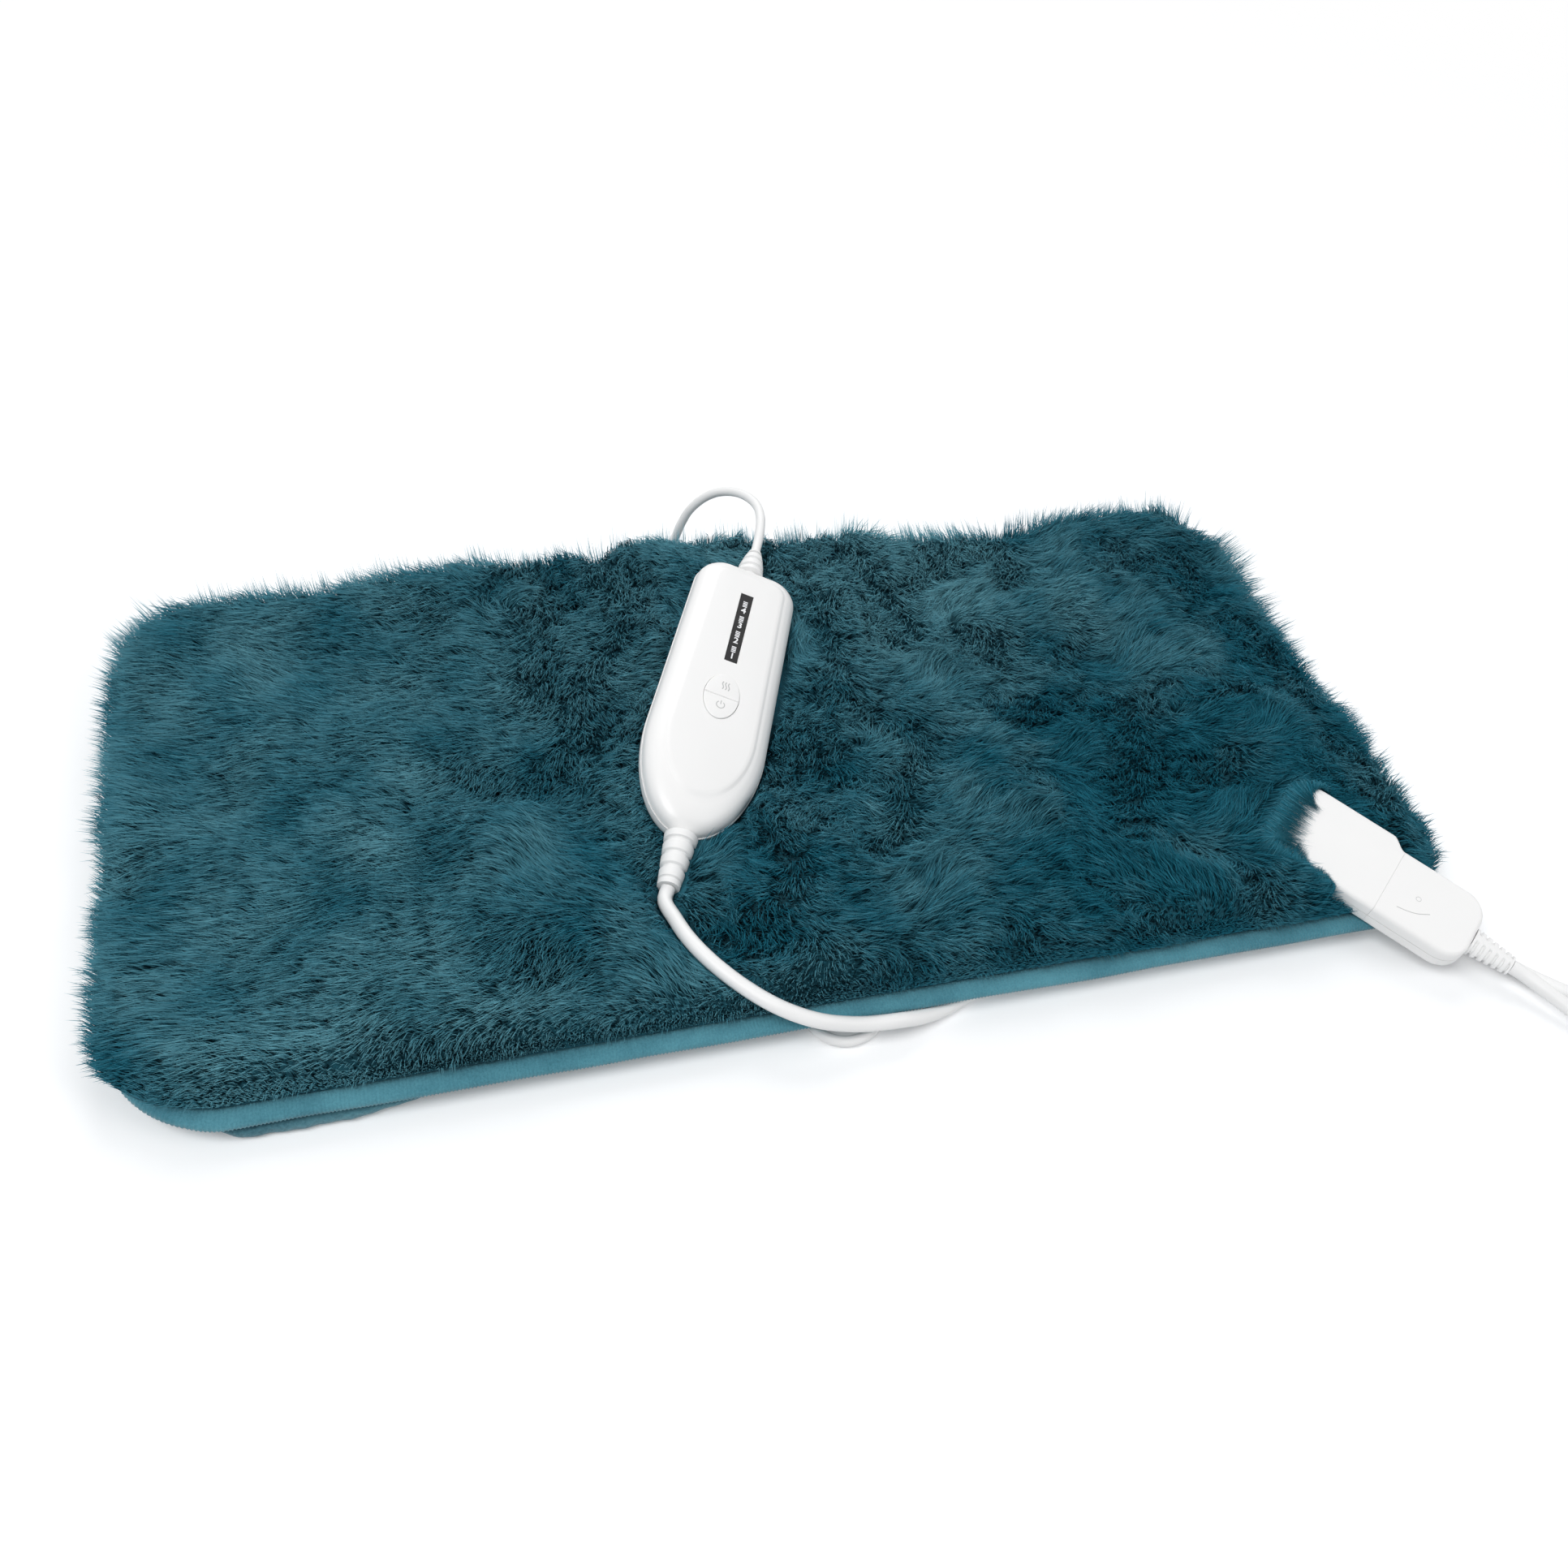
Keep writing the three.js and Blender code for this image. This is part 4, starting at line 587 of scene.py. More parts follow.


# Pile colours: a root darkened as painted shade, a body, and a tip paled partly as painted sheen
PILE = pile_material("pile", (0.001, 0.055, 0.083), (0.007, 0.165, 0.24), (0.12, 0.335, 0.405))
SKIN = cloth("pile_ground", (0.002, 0.045, 0.065), (0.007, 0.11, 0.155), 500.0, 20.0, 0.8)
BACK = cloth("back_plush", (0.03, 0.12, 0.16), (0.09, 0.25, 0.3), 700.0, 12.0, 1.0, 0.3)
BINDING = cloth("binding_velour", (0.035, 0.17, 0.225), (0.085, 0.29, 0.36), 1200.0, 40.0, 0.5, 0.3)
FELT = cloth("needle_felt", (0.5, 0.48, 0.43), (0.75, 0.73, 0.68), 400.0, 30.0, 0.8)
WADDING = cloth("wadding_fibre", (0.65, 0.63, 0.6), (0.85, 0.84, 0.81), 250.0, 15.0, 1.0)
WHITE = moulded("white_shell", (0.87, 0.867, 0.86), 0.3, 0.08, 0.04)
WHITE_RUBBER = moulded("white_rubber", (0.85, 0.85, 0.845), 0.42, 0.1, 0.06, 1400.0, 0.08)
CORD = moulded("cord_sheath", (0.85, 0.85, 0.845), 0.38, 0.1, 0.06, 1200.0, 0.1)
WINDOW = moulded("window_black", (0.004, 0.004, 0.005), 0.12, 0.04, 0.0, 900.0, 0.01)
PRINT = moulded("grey_print", (0.5, 0.5, 0.5), 0.5, 0.05, 0.05)
LAMP = moulded("lamp_white", (0.85, 0.86, 0.88), 0.4, 0.05, 0.0)
DARK = moulded("dark_plastic", (0.02, 0.02, 0.022), 0.45, 0.1, 0.1)
BOARD = moulded("circuit_board", (0.02, 0.12, 0.05), 0.4, 0.1, 0.3, 300.0, 0.1)
SLEEVE = moulded("wire_sleeve", (0.35, 0.08, 0.03), 0.5, 0.1, 0.1)
TIN = plated("tin", (0.62, 0.62, 0.63), 0.25)
BRASS = plated("brass", (0.72, 0.55, 0.25), 0.25)

# Looks of the CAD solids that stay
for look, names in (
    (SLEEVE, "heating_wire"),
    (TIN, "thermal_fuse_1 thermal_fuse_2 board_fuse plug_screw_1 plug_screw_2"),
    (TIN, "controller_screw_1 controller_screw_2 controller_screw_3 controller_screw_4"),
    (DARK, "display_module heat_switch power_switch triac socket_block plug_insert"),
    (WHITE, "heat_plunger power_plunger"),
    (BOARD, "circuit_board"),
    (BRASS, "socket_pin_1 socket_pin_2 socket_pin_3 plug_contact_1 plug_contact_2 plug_contact_3"),
):
    for name in names.split():
        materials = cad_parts[name].data.materials
        materials.clear()
        materials.append(look)


# Cord routes, as points chosen from the photograph, with ends on their strain reliefs
TOP_RELIEF_END = CTL_LENGTH / 2 + TOP_RELIEF[0]
TIP_RELIEF_END = -CTL_LENGTH / 2 - TIP_RELIEF[0]
PLUG_MID = -PLUG_THICK / 2
PLUG_RELIEF_END = PLUG_LENGTH + GAP + PLUG_RELIEF_LENGTH
LEAD_Z = LEAD_RADIUS + TABLE_CLEAR
MAINS_Z = MAINS_RADIUS + TABLE_CLEAR
HANK_OUTER = HANK_INNER + HANK_CLIMB * HANK_PITCH
HANK_EXIT = HANK_INNER + (HANK_TURNS - HANK_CLIMB - HANK_CLIMB_SHARE) * HANK_PITCH
HANK_END = HANK_CENTRE[0] + HANK_RUN / 2 + 2 * MAINS_RADIUS
MAINS_RELIEF_END = MAINS_PLUG_END + MAINS_PLUG_LENGTH + GAP + MAINS_RELIEF_LENGTH
MAINS_PLUG_Z = MAINS_PLUG_THICK / 2


def level(z, *points):
    """Points of a route at one height."""
    return [(x, y, z) for x, y in points]


LEAD_ROUTE = [
    placed(CONTROLLER, (0, TIP_RELIEF_END - GAP, 0)),
    placed(CONTROLLER, (0, TIP_RELIEF_END - 2 * LEAD_RADIUS, 0)),
    (-71.5, -101, 27), (-68.4, -116, 29.5), (-61.2, -130, 28.5), (-50.4, -143.1, 25.5), (-38, -154.6, 23.2),
    (-23.1, -161.2, 19), (-3.9, -162.3, 12.7), (13.1, -162.6, 11), (26.4, -159.4, 6.2), (37.5, -155.5, 3.7),
    *level(
        LEAD_Z,
        (48, -151.2), (60, -146.6), (76, -143.6), (100, -143.2), (130, -143.2), (160, -143.2),
        (190, -143.2), (218, -143.2), (240, -144), (258, -147), (274, -154), (289, -166), (304, -184),
        (317, -200), (332, -213), (352, -219), (374, -219), (394, -226), (404, -243), (402, -262),
        (388, -276), (369, -279), (350, -270), (337, -254),
    ),
    (327, -238, 4.4), (318, -222, 6.5), (308.5, -206.5, 9.3),
    placed(CONNECTOR, (0, PLUG_RELIEF_END + 2 * LEAD_RADIUS, PLUG_MID)),
    placed(CONNECTOR, (0, PLUG_RELIEF_END + GAP, PLUG_MID)),
]
MAINS_ROUTE = [
    placed(CONTROLLER, (0, TOP_RELIEF_END + GAP, 0)),
    placed(CONTROLLER, (0, TOP_RELIEF_END + 3 * MAINS_RADIUS, 0)),
    (22.6, 124, 63.5), (25.6, 134.5, 65.5), (26.2, 145.5, 66), (23.2, 156, 65.2), (17, 165, 63), (9.4, 171, 59),
    (2.4, 174.4, 53), (-3.6, 176, 45.6), (-7.6, 176.9, 37), (-10.6, 177.6, 28), (-14.4, 178.9, 19),
    (-20.6, 181.4, 11), (-30, 185, 5.2), (-42, 189.4, 2.9), (-56, 193.6, MAINS_Z),
    (HANK_END + 5 * MAINS_RADIUS, HANK_CENTRE[1] + HANK_OUTER - 1, MAINS_Z),
    (HANK_END + 2 * MAINS_RADIUS, HANK_CENTRE[1] + HANK_OUTER, MAINS_Z),
    (HANK_END + GAP, HANK_CENTRE[1] + HANK_OUTER, MAINS_Z),
]
UNDER_ROUTE = [
    (HANK_END + GAP, HANK_CENTRE[1] - HANK_EXIT, MAINS_Z + HANK_LAYER),
    (HANK_END + 2 * MAINS_RADIUS, HANK_CENTRE[1] - HANK_EXIT, MAINS_Z + HANK_LAYER),
    (-68, 152.9, 6.2), (-55, 152.2, 3.6),
    *level(
        MAINS_Z,
        (-40, 150.4), (-20, 147.4), (0, 145), (20, 144), (35, 142.8), (46.5, 137), (53.2, 127), (54.4, 115),
        (47.6, 90), (36.2, 50), (24.8, 10), (13.4, -30), (2, -70), (-9.4, -105), (-18.6, -126), (-22, -140),
        (-22.4, -149), (-18, -158), (-9.8, -162.6), (-0.6, -161.4), (7, -155.4), (10.2, -146), (12.6, -134),
        (20, -110), (31.4, -72), (44.2, -30), (56.6, 14), (68, 54), (79.4, 94), (90, 131), (96, 150),
    ),
    (98.4, 163, 3), (95.4, 174, 4.2), (86.6, MAINS_PLUG_Y - 0.6, 6),
    (MAINS_RELIEF_END + 3 * MAINS_RADIUS, MAINS_PLUG_Y, MAINS_PLUG_Z),
    (MAINS_RELIEF_END + GAP, MAINS_PLUG_Y, MAINS_PLUG_Z),
]
CORD_STEP = 2.5
LEAD_END_LENGTH = 62
LEAD_ON_PILE = 120


def hank_line():
    """The hank: quarters of a turn are runs drawn in by a sine square at the waist, or half circles,
    whose radius shrinks to the climb and grows after it."""
    turn = np.linspace(0, HANK_TURNS, 700)
    since = np.where(turn < HANK_CLIMB, HANK_CLIMB - turn, np.maximum(0, turn - HANK_CLIMB - HANK_CLIMB_SHARE))
    radius = HANK_INNER + HANK_PITCH * since
    climb = np.clip((turn - HANK_CLIMB) / HANK_CLIMB_SHARE, 0, 1)
    phase = (turn % 1) * 4
    quarter = np.minimum(np.floor(phase), 3)
    share = phase - quarter
    run = HANK_RUN / 2
    waist = np.sin(np.pi * share) ** 2
    bow = np.sin(np.pi * share)
    swing = np.cos(np.pi * share)
    straight = (quarter == 0) | (quarter == 2)
    way = np.where(quarter < 2, 1, -1)
    x = np.where(straight, way * (run - HANK_RUN * share), -way * (run + radius * bow))
    y = np.where(straight, way * (radius - HANK_WAIST * waist), way * radius * swing)
    z = MAINS_Z + climb * HANK_LAYER + np.where(straight, HANK_RISE * waist, 0)
    line = np.stack([HANK_CENTRE[0] + x, HANK_CENTRE[1] + y, z], axis=1)
    first = np.array([[HANK_END, line[0, 1], line[0, 2]]])
    last = np.array([[HANK_END, line[-1, 1], line[-1, 2]]])
    return np.concatenate([first, line, last])


LEAD_LINE = curve_points(LEAD_ROUTE, CORD_STEP)
MAINS_PARTS = [curve_points(MAINS_ROUTE, CORD_STEP), hank_line(), curve_points(UNDER_ROUTE, CORD_STEP)]
MAINS_LINE = resampled(np.concatenate(MAINS_PARTS), CORD_STEP)


def make_cords():
    """Both cords, with the lead's last stretch as a separate piece."""
    split = len(LEAD_LINE) - int(round(LEAD_END_LENGTH / CORD_STEP))
    lead = cord_mesh("lead_sheath", LEAD_LINE[: split + 1], LEAD_RADIUS, 20)
    wear(lead, "root", CORD, ["lead_cord"])
    end = cord_mesh("lead_sheath_end", LEAD_LINE[split:], LEAD_RADIUS, 20)
    wear(end, None, CORD)
    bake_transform(end)
    mains = cord_mesh("mains_sheath", MAINS_LINE, MAINS_RADIUS, 16)
    wear(mains, "root", CORD, ["mains_cord", "mains_run", "mains_hank"])
    return lead, end, mains


# The pad

def station_grid(half_x, half_y, radius, step):
    """Stations of a rectangle with round corners: straight rows and columns, drawn round in the corner blocks,
    where the larger of the two shares is the ring and their ratio is the turn."""
    s = np.linspace(-half_x, half_x, int(2 * half_x / step) + 1)
    t = np.linspace(-half_y, half_y, int(2 * half_y / step) + 1)
    x, y = np.meshgrid(s, t)
    u = (np.abs(x) - half_x + radius) / radius
    v = (np.abs(y) - half_y + radius) / radius
    corner = (u > 0) & (v > 0)
    big = np.maximum(np.maximum(u, v), 1e-9)
    turn = np.where(u >= v, np.pi / 4 * v / big, np.pi / 2 - np.pi / 4 * u / big)
    round_x = np.sign(x) * (half_x - radius + big * radius * np.cos(turn))
    round_y = np.sign(y) * (half_y - radius + big * radius * np.sin(turn))
    return np.where(corner, round_x, x), np.where(corner, round_y, y)


def inset(x, y, half_x, half_y, radius):
    """How far inside a round-cornered rectangle a point lies: the negative of its signed distance."""
    u = np.abs(x) - half_x + radius
    v = np.abs(y) - half_y + radius
    outside = np.hypot(np.maximum(u, 0), np.maximum(v, 0))
    return radius - outside - np.minimum(np.maximum(u, v), 0)


DRAW_REACH = BINDING_WIDTH + SOFT + EDGE_FLAT


def drawn_out(x, y):
    """The border drawn out at the front and on the left, by a share that grows from nothing inside it."""
    ahead = np.maximum(0, DRAW_REACH - PAD_WIDTH / 2 - y) / DRAW_REACH
    aside = np.maximum(0, DRAW_REACH - PAD_LENGTH / 2 - x) / DRAW_REACH
    return x - LEFT_DRAW * aside, y - FRONT_DRAW * ahead


def pile_place(x, y):
    """Where a point of the pile lies: set back from the binding's front, then drawn out with the border."""
    start = PAD_WIDTH / 2 - DRAW_REACH
    ahead = np.maximum(0, -y - start)
    kept = (DRAW_REACH - FRONT_SETBACK) / (DRAW_REACH + PILE_OVERHANG)
    return drawn_out(x, y + ahead * (1 - kept))


def smooth_step(value):
    """0 below 0, 1 above 1, and a cubic between."""
    share = np.clip(value, 0, 1)
    return share * share * (3 - 2 * share)


def waves(x, y, seed, reach, count=14):
    """Smooth noise: a sum of plane waves with random directions and phases and lengths about the reach."""
    rng = np.random.default_rng(seed)
    total = np.zeros_like(x, float)
    for angle, phase, length in zip(
        rng.uniform(0, 2 * np.pi, count), rng.uniform(0, 2 * np.pi, count), rng.uniform(0.7, 1.6, count)
    ):
        k = 2 * np.pi / (reach * length)
        total += np.cos(k * (x * np.cos(angle) + y * np.sin(angle)) + phase)
    return total / math.sqrt(count / 2)


# Half length, half width and corner radius of the pile's outline, of its roots and of the layers' rim
OUTER = (PAD_LENGTH / 2 + PILE_OVERHANG, PAD_WIDTH / 2 + PILE_OVERHANG, PAD_CORNER + PILE_OVERHANG)
ROOT_INSET = 2
ROOTS = tuple(size - ROOT_INSET for size in OUTER)
RIM = (PAD_LENGTH / 2 - BINDING_WIDTH - SOFT, PAD_WIDTH / 2 - BINDING_WIDTH - SOFT, PAD_CORNER - BINDING_WIDTH)
# Swells and dents of the pile: place as shares of the half length and width, height as a share
# of the pile's top and reach as a share of the half width
SWELLS = [
    (-0.083, 0.5, 0.47, 0.413), (0.12, 1, 0.47, 0.4), (0.87, 0.93, 0.33, 0.32), (-0.4, 0.93, 0.15, 0.33),
    (0.62, 0.55, 0.12, 0.4), (0.84, -0.35, 0.18, 0.413), (-0.72, 0.35, 0.09, 0.533), (-0.82, 0.1, -0.13, 0.23),
    (-0.83, -0.47, -0.13, 0.23), (-0.64, -0.36, 0.1, 0.3), (-0.42, 0.1, -0.15, 0.24),
    (-0.37, -0.9, -0.15, 0.23),
    (-0.53, -0.83, 0.09, 0.2), (0.03, -0.27, -0.15, 0.2), (0.27, 0.3, -0.16, 0.23), (0.1, -0.79, -0.12, 0.21),
    (0.29, -0.4, 0.13, 0.24), (0.59, 0.1, -0.18, 0.23), (0.6, -0.48, -0.15, 0.21), (0.75, 0.07, 0.12, 0.24),
    (0.37, -0.79, -0.15, 0.2), (0.51, -0.83, 0.12, 0.21), (-1, -0.27, -0.1, 0.2), (-0.24, 0.98, 0.36, 0.3),
    (-0.08, 1, 0.25, 0.25), (-0.46, 1.02, 0.34, 0.22), (-0.66, 1.02, 0.3, 0.28), (-0.93, 0.95, 0.25, 0.3),
]
EDGE_SWELL = 0.5
BACK_RISE = 4.5
CROWN_REACH = 9
# Height and length of the soft lumps of the pile, with the seed of each
LUMPS = [(1.8, 3, 70), (1.3, 4, 30)]


def ridge_away(x, y):
    """How far a point lies beside the cord that crosses beneath the pad."""
    return np.abs(x - RIDGE_X - RIDGE_SLOPE * y)


def underside(x, y):
    """The pad's underside: flat on the table, lifted at the outer edge and over the cord beneath, where it
    falls from the flat of the fold to its foot."""
    edge = EDGE_LIFT * (1 - smooth_step((inset(x, y, *RIM) - EDGE_FLAT) / EDGE_FALL))
    ridge = 1 - smooth_step((ridge_away(x, y) - RIDGE_FLAT) / (RIDGE_FOOT - RIDGE_FLAT))
    return np.maximum(edge, RIDGE_LIFT * ridge)


def bells(x, y, table):
    """The sum of a table's bells, each over the square of the distance as a share of its reach."""
    total = np.zeros_like(x, float)
    for share_x, share_y, amount, reach in table:
        away = np.hypot(x - share_x * PAD_LENGTH / 2, y - share_y * PAD_WIDTH / 2)
        total += amount * np.exp(-((away / (reach * PAD_WIDTH / 2)) ** 2))
    return total


def swell_height(x, y):
    """The height that the swells and dents add to the pile."""
    return PILE_TOP * bells(x, y, SWELLS)


def pile_height(x, y):
    """The height that the pile reaches: an edge rising to a crown, plus swells, the ridge and soft lumps."""
    rise = 1 - np.exp(-np.maximum(inset(x, y, *OUTER), 0) / CROWN_REACH)
    top = PILE_EDGE_TOP + (PILE_TOP - PILE_EDGE_TOP) * rise
    top = top + swell_height(x, y) * (EDGE_SWELL + (1 - EDGE_SWELL) * rise)
    top = top + BACK_RISE * smooth_step((y - 80) / 60)
    top = top + RIDGE_LIFT * np.maximum(0, 1 - ridge_away(x, y) / RIDGE_FOOT) * rise
    return top + sum(height * waves(x, y, seed, reach) for height, seed, reach in LUMPS) * rise


def controller_outline(x, y):
    """How far inside the controller's outline a point of its frame lies: a round tip and tapered sides."""
    tip_line = -CTL_LENGTH / 2 + CTL_TIP_REACH
    half = CTL_WIDTH / 2
    tip = (1 - np.hypot(x / half, (y - tip_line) / CTL_TIP_REACH)) * half
    share = np.clip((y - tip_line) / (CTL_LENGTH / 2 - tip_line), 0, 1)
    side = half + (CTL_TOP_WIDTH / 2 - half) * share
    straight = np.minimum(side - np.abs(x), CTL_LENGTH / 2 - y)
    corner_x = np.abs(x) - side + CTL_CORNER
    corner_y = y - CTL_LENGTH / 2 + CTL_CORNER
    corner = CTL_CORNER - np.hypot(corner_x, corner_y)
    body = np.where((corner_x > 0) & (corner_y > 0), corner, straight)
    return np.where(y < tip_line, tip, body)


def connector_outline(x, y):
    """How far inside the joined plug and socket a point of their frame lies."""
    half = PLUG_WIDTH / 2
    left = np.where(y > 0, -half, -half - SOCKET_STEP)
    sides = np.minimum(half - x, x - left)
    ends = np.minimum(PLUG_LENGTH - y, y + SOCKET_LENGTH)
    return np.minimum(sides, ends)


def plane_height(place, x, y, floor=0):
    """The height over each place of the table of a turned frame's plane at z = floor."""
    centre, axes = place
    normal = axes[2]
    return centre[2] - ((x - centre[0]) * normal[0] + (y - centre[1]) * normal[1] - floor) / normal[2]


# How far the pile stays clear of the hard pieces, and how its ceiling rises over their rounded edges
CLEAR_SHELL = 0.6
CLEAR_RELIEF = 0.3
CLEAR_LEAD = 1.2
EDGE_REACH = 6
EDGE_RISE = 0.9
OUTSIDE = -0.4
LEAD_REACH = 8
RELIEF_REACH = 3
BLOCK = 20000


def ceiling(points):
    """The height that the pile stays under: below the controller, its reliefs, the lead and the connector."""
    x, y = points[:, 0], points[:, 1]
    limit = np.full(len(points), 1e3)
    for place, outline, floor in (
        (CONTROLLER, controller_outline, -CTL_BACK),
        (CONNECTOR, connector_outline, -PLUG_THICK),
    ):
        own = local(place, points)
        inside = outline(own[:, 0], own[:, 1])
        rounded = np.maximum(EDGE_REACH - inside, 0) * EDGE_RISE
        under = plane_height(place, x, y, floor) - CLEAR_SHELL + rounded
        limit = np.where(inside > OUTSIDE, np.minimum(limit, under), limit)
    line = LEAD_LINE[: int(LEAD_ON_PILE / CORD_STEP)]
    clear = LEAD_RADIUS + CLEAR_LEAD
    low, high = line.min(axis=0) - LEAD_REACH, line.max(axis=0) + LEAD_REACH
    spots = np.nonzero((x > low[0]) & (x < high[0]) & (y < high[1]))[0]
    for block in np.array_split(spots, max(1, len(spots) // BLOCK)):
        away = np.hypot(x[block, None] - line[None, :, 0], y[block, None] - line[None, :, 1])
        best = away.argmin(axis=1)
        distance = away[np.arange(len(block)), best]
        under = line[best, 2] - np.sqrt(np.maximum(clear**2 - distance**2, 0))
        limit[block] = np.where(distance < clear, np.minimum(limit[block], under), limit[block])
    own = local(CONTROLLER, points)
    for start, end, radius in (
        (TIP_RELIEF_END, -CTL_LENGTH / 2, TIP_RELIEF[1]),
        (CTL_LENGTH / 2, TOP_RELIEF_END, TOP_RELIEF[1]),
    ):
        along = (own[:, 1] > start - RELIEF_REACH) & (own[:, 1] < end + RELIEF_REACH)
        drop = np.sqrt(np.maximum(radius**2 - own[:, 0] ** 2, 0))
        under = plane_height(CONTROLLER, x, y) - drop - CLEAR_RELIEF
        limit = np.where(along & (np.abs(own[:, 0]) < radius), np.minimum(limit, under), limit)
    return limit


def sheet_between(name, x, y, low, high):
    """A closed layer: the stations at two heights, joined round the rim."""
    rows, columns = x.shape
    points = np.concatenate([sections(x, y, z).reshape(-1, 3) for z in (low, high)])
    i, j = np.meshgrid(np.arange(columns - 1), np.arange(rows - 1))
    a = (j * columns + i).ravel()
    b, c, d = a + 1, a + columns + 1, a + columns
    lid = rows * columns
    under = np.stack([a, d, c, b], axis=1)
    over = np.stack([a, b, c, d], axis=1) + lid
    front = np.arange(columns - 1)
    right = np.arange(rows - 1) * columns + columns - 1
    back = np.arange(columns - 1, 0, -1) + (rows - 1) * columns
    left = np.arange(rows - 1, 0, -1) * columns
    rim = np.concatenate([front, right, back, left])
    after = np.roll(rim, -1)
    wall = np.stack([rim, after, after + lid, rim + lid], axis=1)
    return add_mesh(name, points, under, over, wall)


LAYER_STEP = 5
CREASE_DEPTH = 0.35
THINNEST = 0.5


def make_layers():
    """The pad's flat layers, from the back cover up to the ground of the pile."""
    x, y = station_grid(*RIM, LAYER_STEP)
    distance = inset(x, y, *RIM)
    base = underside(x, y)
    creases = CREASE_DEPTH * np.abs(waves(x, y, 8, 46)) * np.clip(distance / 30, 0, 1)
    back_top = base + BACK_THICK
    at = drawn_out(x, y)
    back = sheet_between("back_plush", *at, np.minimum(base + creases, back_top - THINNEST), back_top)
    wear(back, "root", BACK, ["back_cover"])
    felt_low = back_top + GAP
    felt_high = felt_low + FELT_THICK
    wear(sheet_between("felt_layer", *at, felt_low, felt_high), "root", FELT, ["heater_felt"])
    wadding_low = felt_high + GAP + WIRE_SPACE * smooth_step(distance / EDGE_FLAT)
    share = smooth_step((distance - WADDING_INSET) / (EDGE_FLAT + EDGE_FALL))
    grown = WADDING_RIM + (WADDING_THICK - WADDING_RIM) * share
    layer = sheet_between("wadding_layer", *at, wadding_low, wadding_low + grown)
    wear(layer, "root", WADDING, ["wadding"])


GROUND_LOW = EDGE_LIFT + BINDING_HEIGHT + 0.2
GROUND_RIM = GROUND_LOW + 0.8
GROUND_CLEAR = 0.8
GROUND_STEP = 3
RIM_RUN = 13


def pile_ground(x, y):
    """The knitted ground that the pile grows from: below the pile's height by its lying depth, under the
    hard pieces, and down to the binding at the rim."""
    real_x, real_y = pile_place(x, y)
    under = ceiling(sections(real_x, real_y, 0.0).reshape(-1, 3)).reshape(x.shape) - GROUND_CLEAR
    full = np.minimum(pile_height(x, y) - SKIN_DEPTH, under)
    return GROUND_RIM + np.maximum(full - GROUND_RIM, 0) * smooth_step(inset(x, y, *ROOTS) / RIM_RUN)


def make_ground():
    """The ground cloth as a closed layer down to the binding."""
    x, y = station_grid(*ROOTS, GROUND_STEP)
    top = pile_ground(x, y)
    piece = sheet_between("pile_ground", *pile_place(x, y), np.full_like(x, GROUND_LOW), top)
    wear(piece, "root", SKIN, ["fur_cover"])


LOCK_SPACING = 6.2
STRANDS_PER_LOCK = 25
STRAND_RADIUS = 0.24
STRAND_SHARES = np.array([0.0, 0.5, 1.0])
STRAND_PIECES = 8
UNDER_STRANDS = 98000
RIM_STRANDS = 20000
UNDER_LENGTH = 11
UNDER_RADIUS = 0.3
UNDER_SHARES = np.array([0.0, 1.0])
UNDER_PIECES = 3
UNDER_FORWARD = 0.62
UNDER_UPWARD = 0.72
LOCK_SPREAD = 0.85
STRAND_LIFT = 0.95
STRAND_DROOP = 0.42
RIM_SHORTER = 0.4
UNDER_RIM_SHORTER = 0.3
LEAST_LENGTH = 1e-6
FRONT_LEAN = 0.7
BACK_LENGTH = 0.08
FRINGE = 7


def messiness(x):
    """How unruly the pile is: smooth on the left, wild on the right."""
    return 0.25 + 0.75 * smooth_step((x / (PAD_LENGTH / 2) + 0.7) / 0.8)


def comb(x, y):
    """The way that the pile lies, as an angle: to the left on the left, towards the front in the middle
    and to the front right on the right, turned by slow swirls."""
    across = x / (PAD_LENGTH / 2)
    lay = np.radians(200 + 66 * smooth_step((across + 0.6) / 0.75) + 30 * smooth_step((across - 0.1) / 0.7))
    return lay + messiness(x) * (0.7 * waves(x, y, 11, 150) + 0.75 * waves(x, y, 12, 60))


def lock_places():
    """Centres of the locks on a jittered square grid inside the pad's outline."""
    s = np.arange(-OUTER[0], OUTER[0], LOCK_SPACING)
    t = np.arange(-OUTER[1], OUTER[1], LOCK_SPACING)
    x, y = (a.ravel() for a in np.meshgrid(s, t))
    x = x + RNG.uniform(-0.5, 0.5, len(x)) * LOCK_SPACING
    y = y + RNG.uniform(-0.5, 0.5, len(y)) * LOCK_SPACING
    keep = inset(x, y, *OUTER) > 0.5
    return x[keep], y[keep]


def rim_way(x, y):
    """The outward direction of the pad's nearest edge, as the slope of the inset."""
    small = 0.5
    dx = inset(x + small, y, *OUTER) - inset(x - small, y, *OUTER)
    dy = inset(x, y + small, *OUTER) - inset(x, y - small, *OUTER)
    size = np.maximum(np.hypot(dx, dy), LEAST_LENGTH)
    return -dx / size, -dy / size


# Whorls of the pile: place, reach and sense
WHORLS = [(36, -15, 20, 1), (-111, 108, 22, -1), (205, -20, 24, 1), (120, 75, 20, -1), (-60, -70, 22, 1)]
WHORL_PULL = 2
RIM_LEAN = 1.1
RIM_REACH = 18
FACING = 0.6


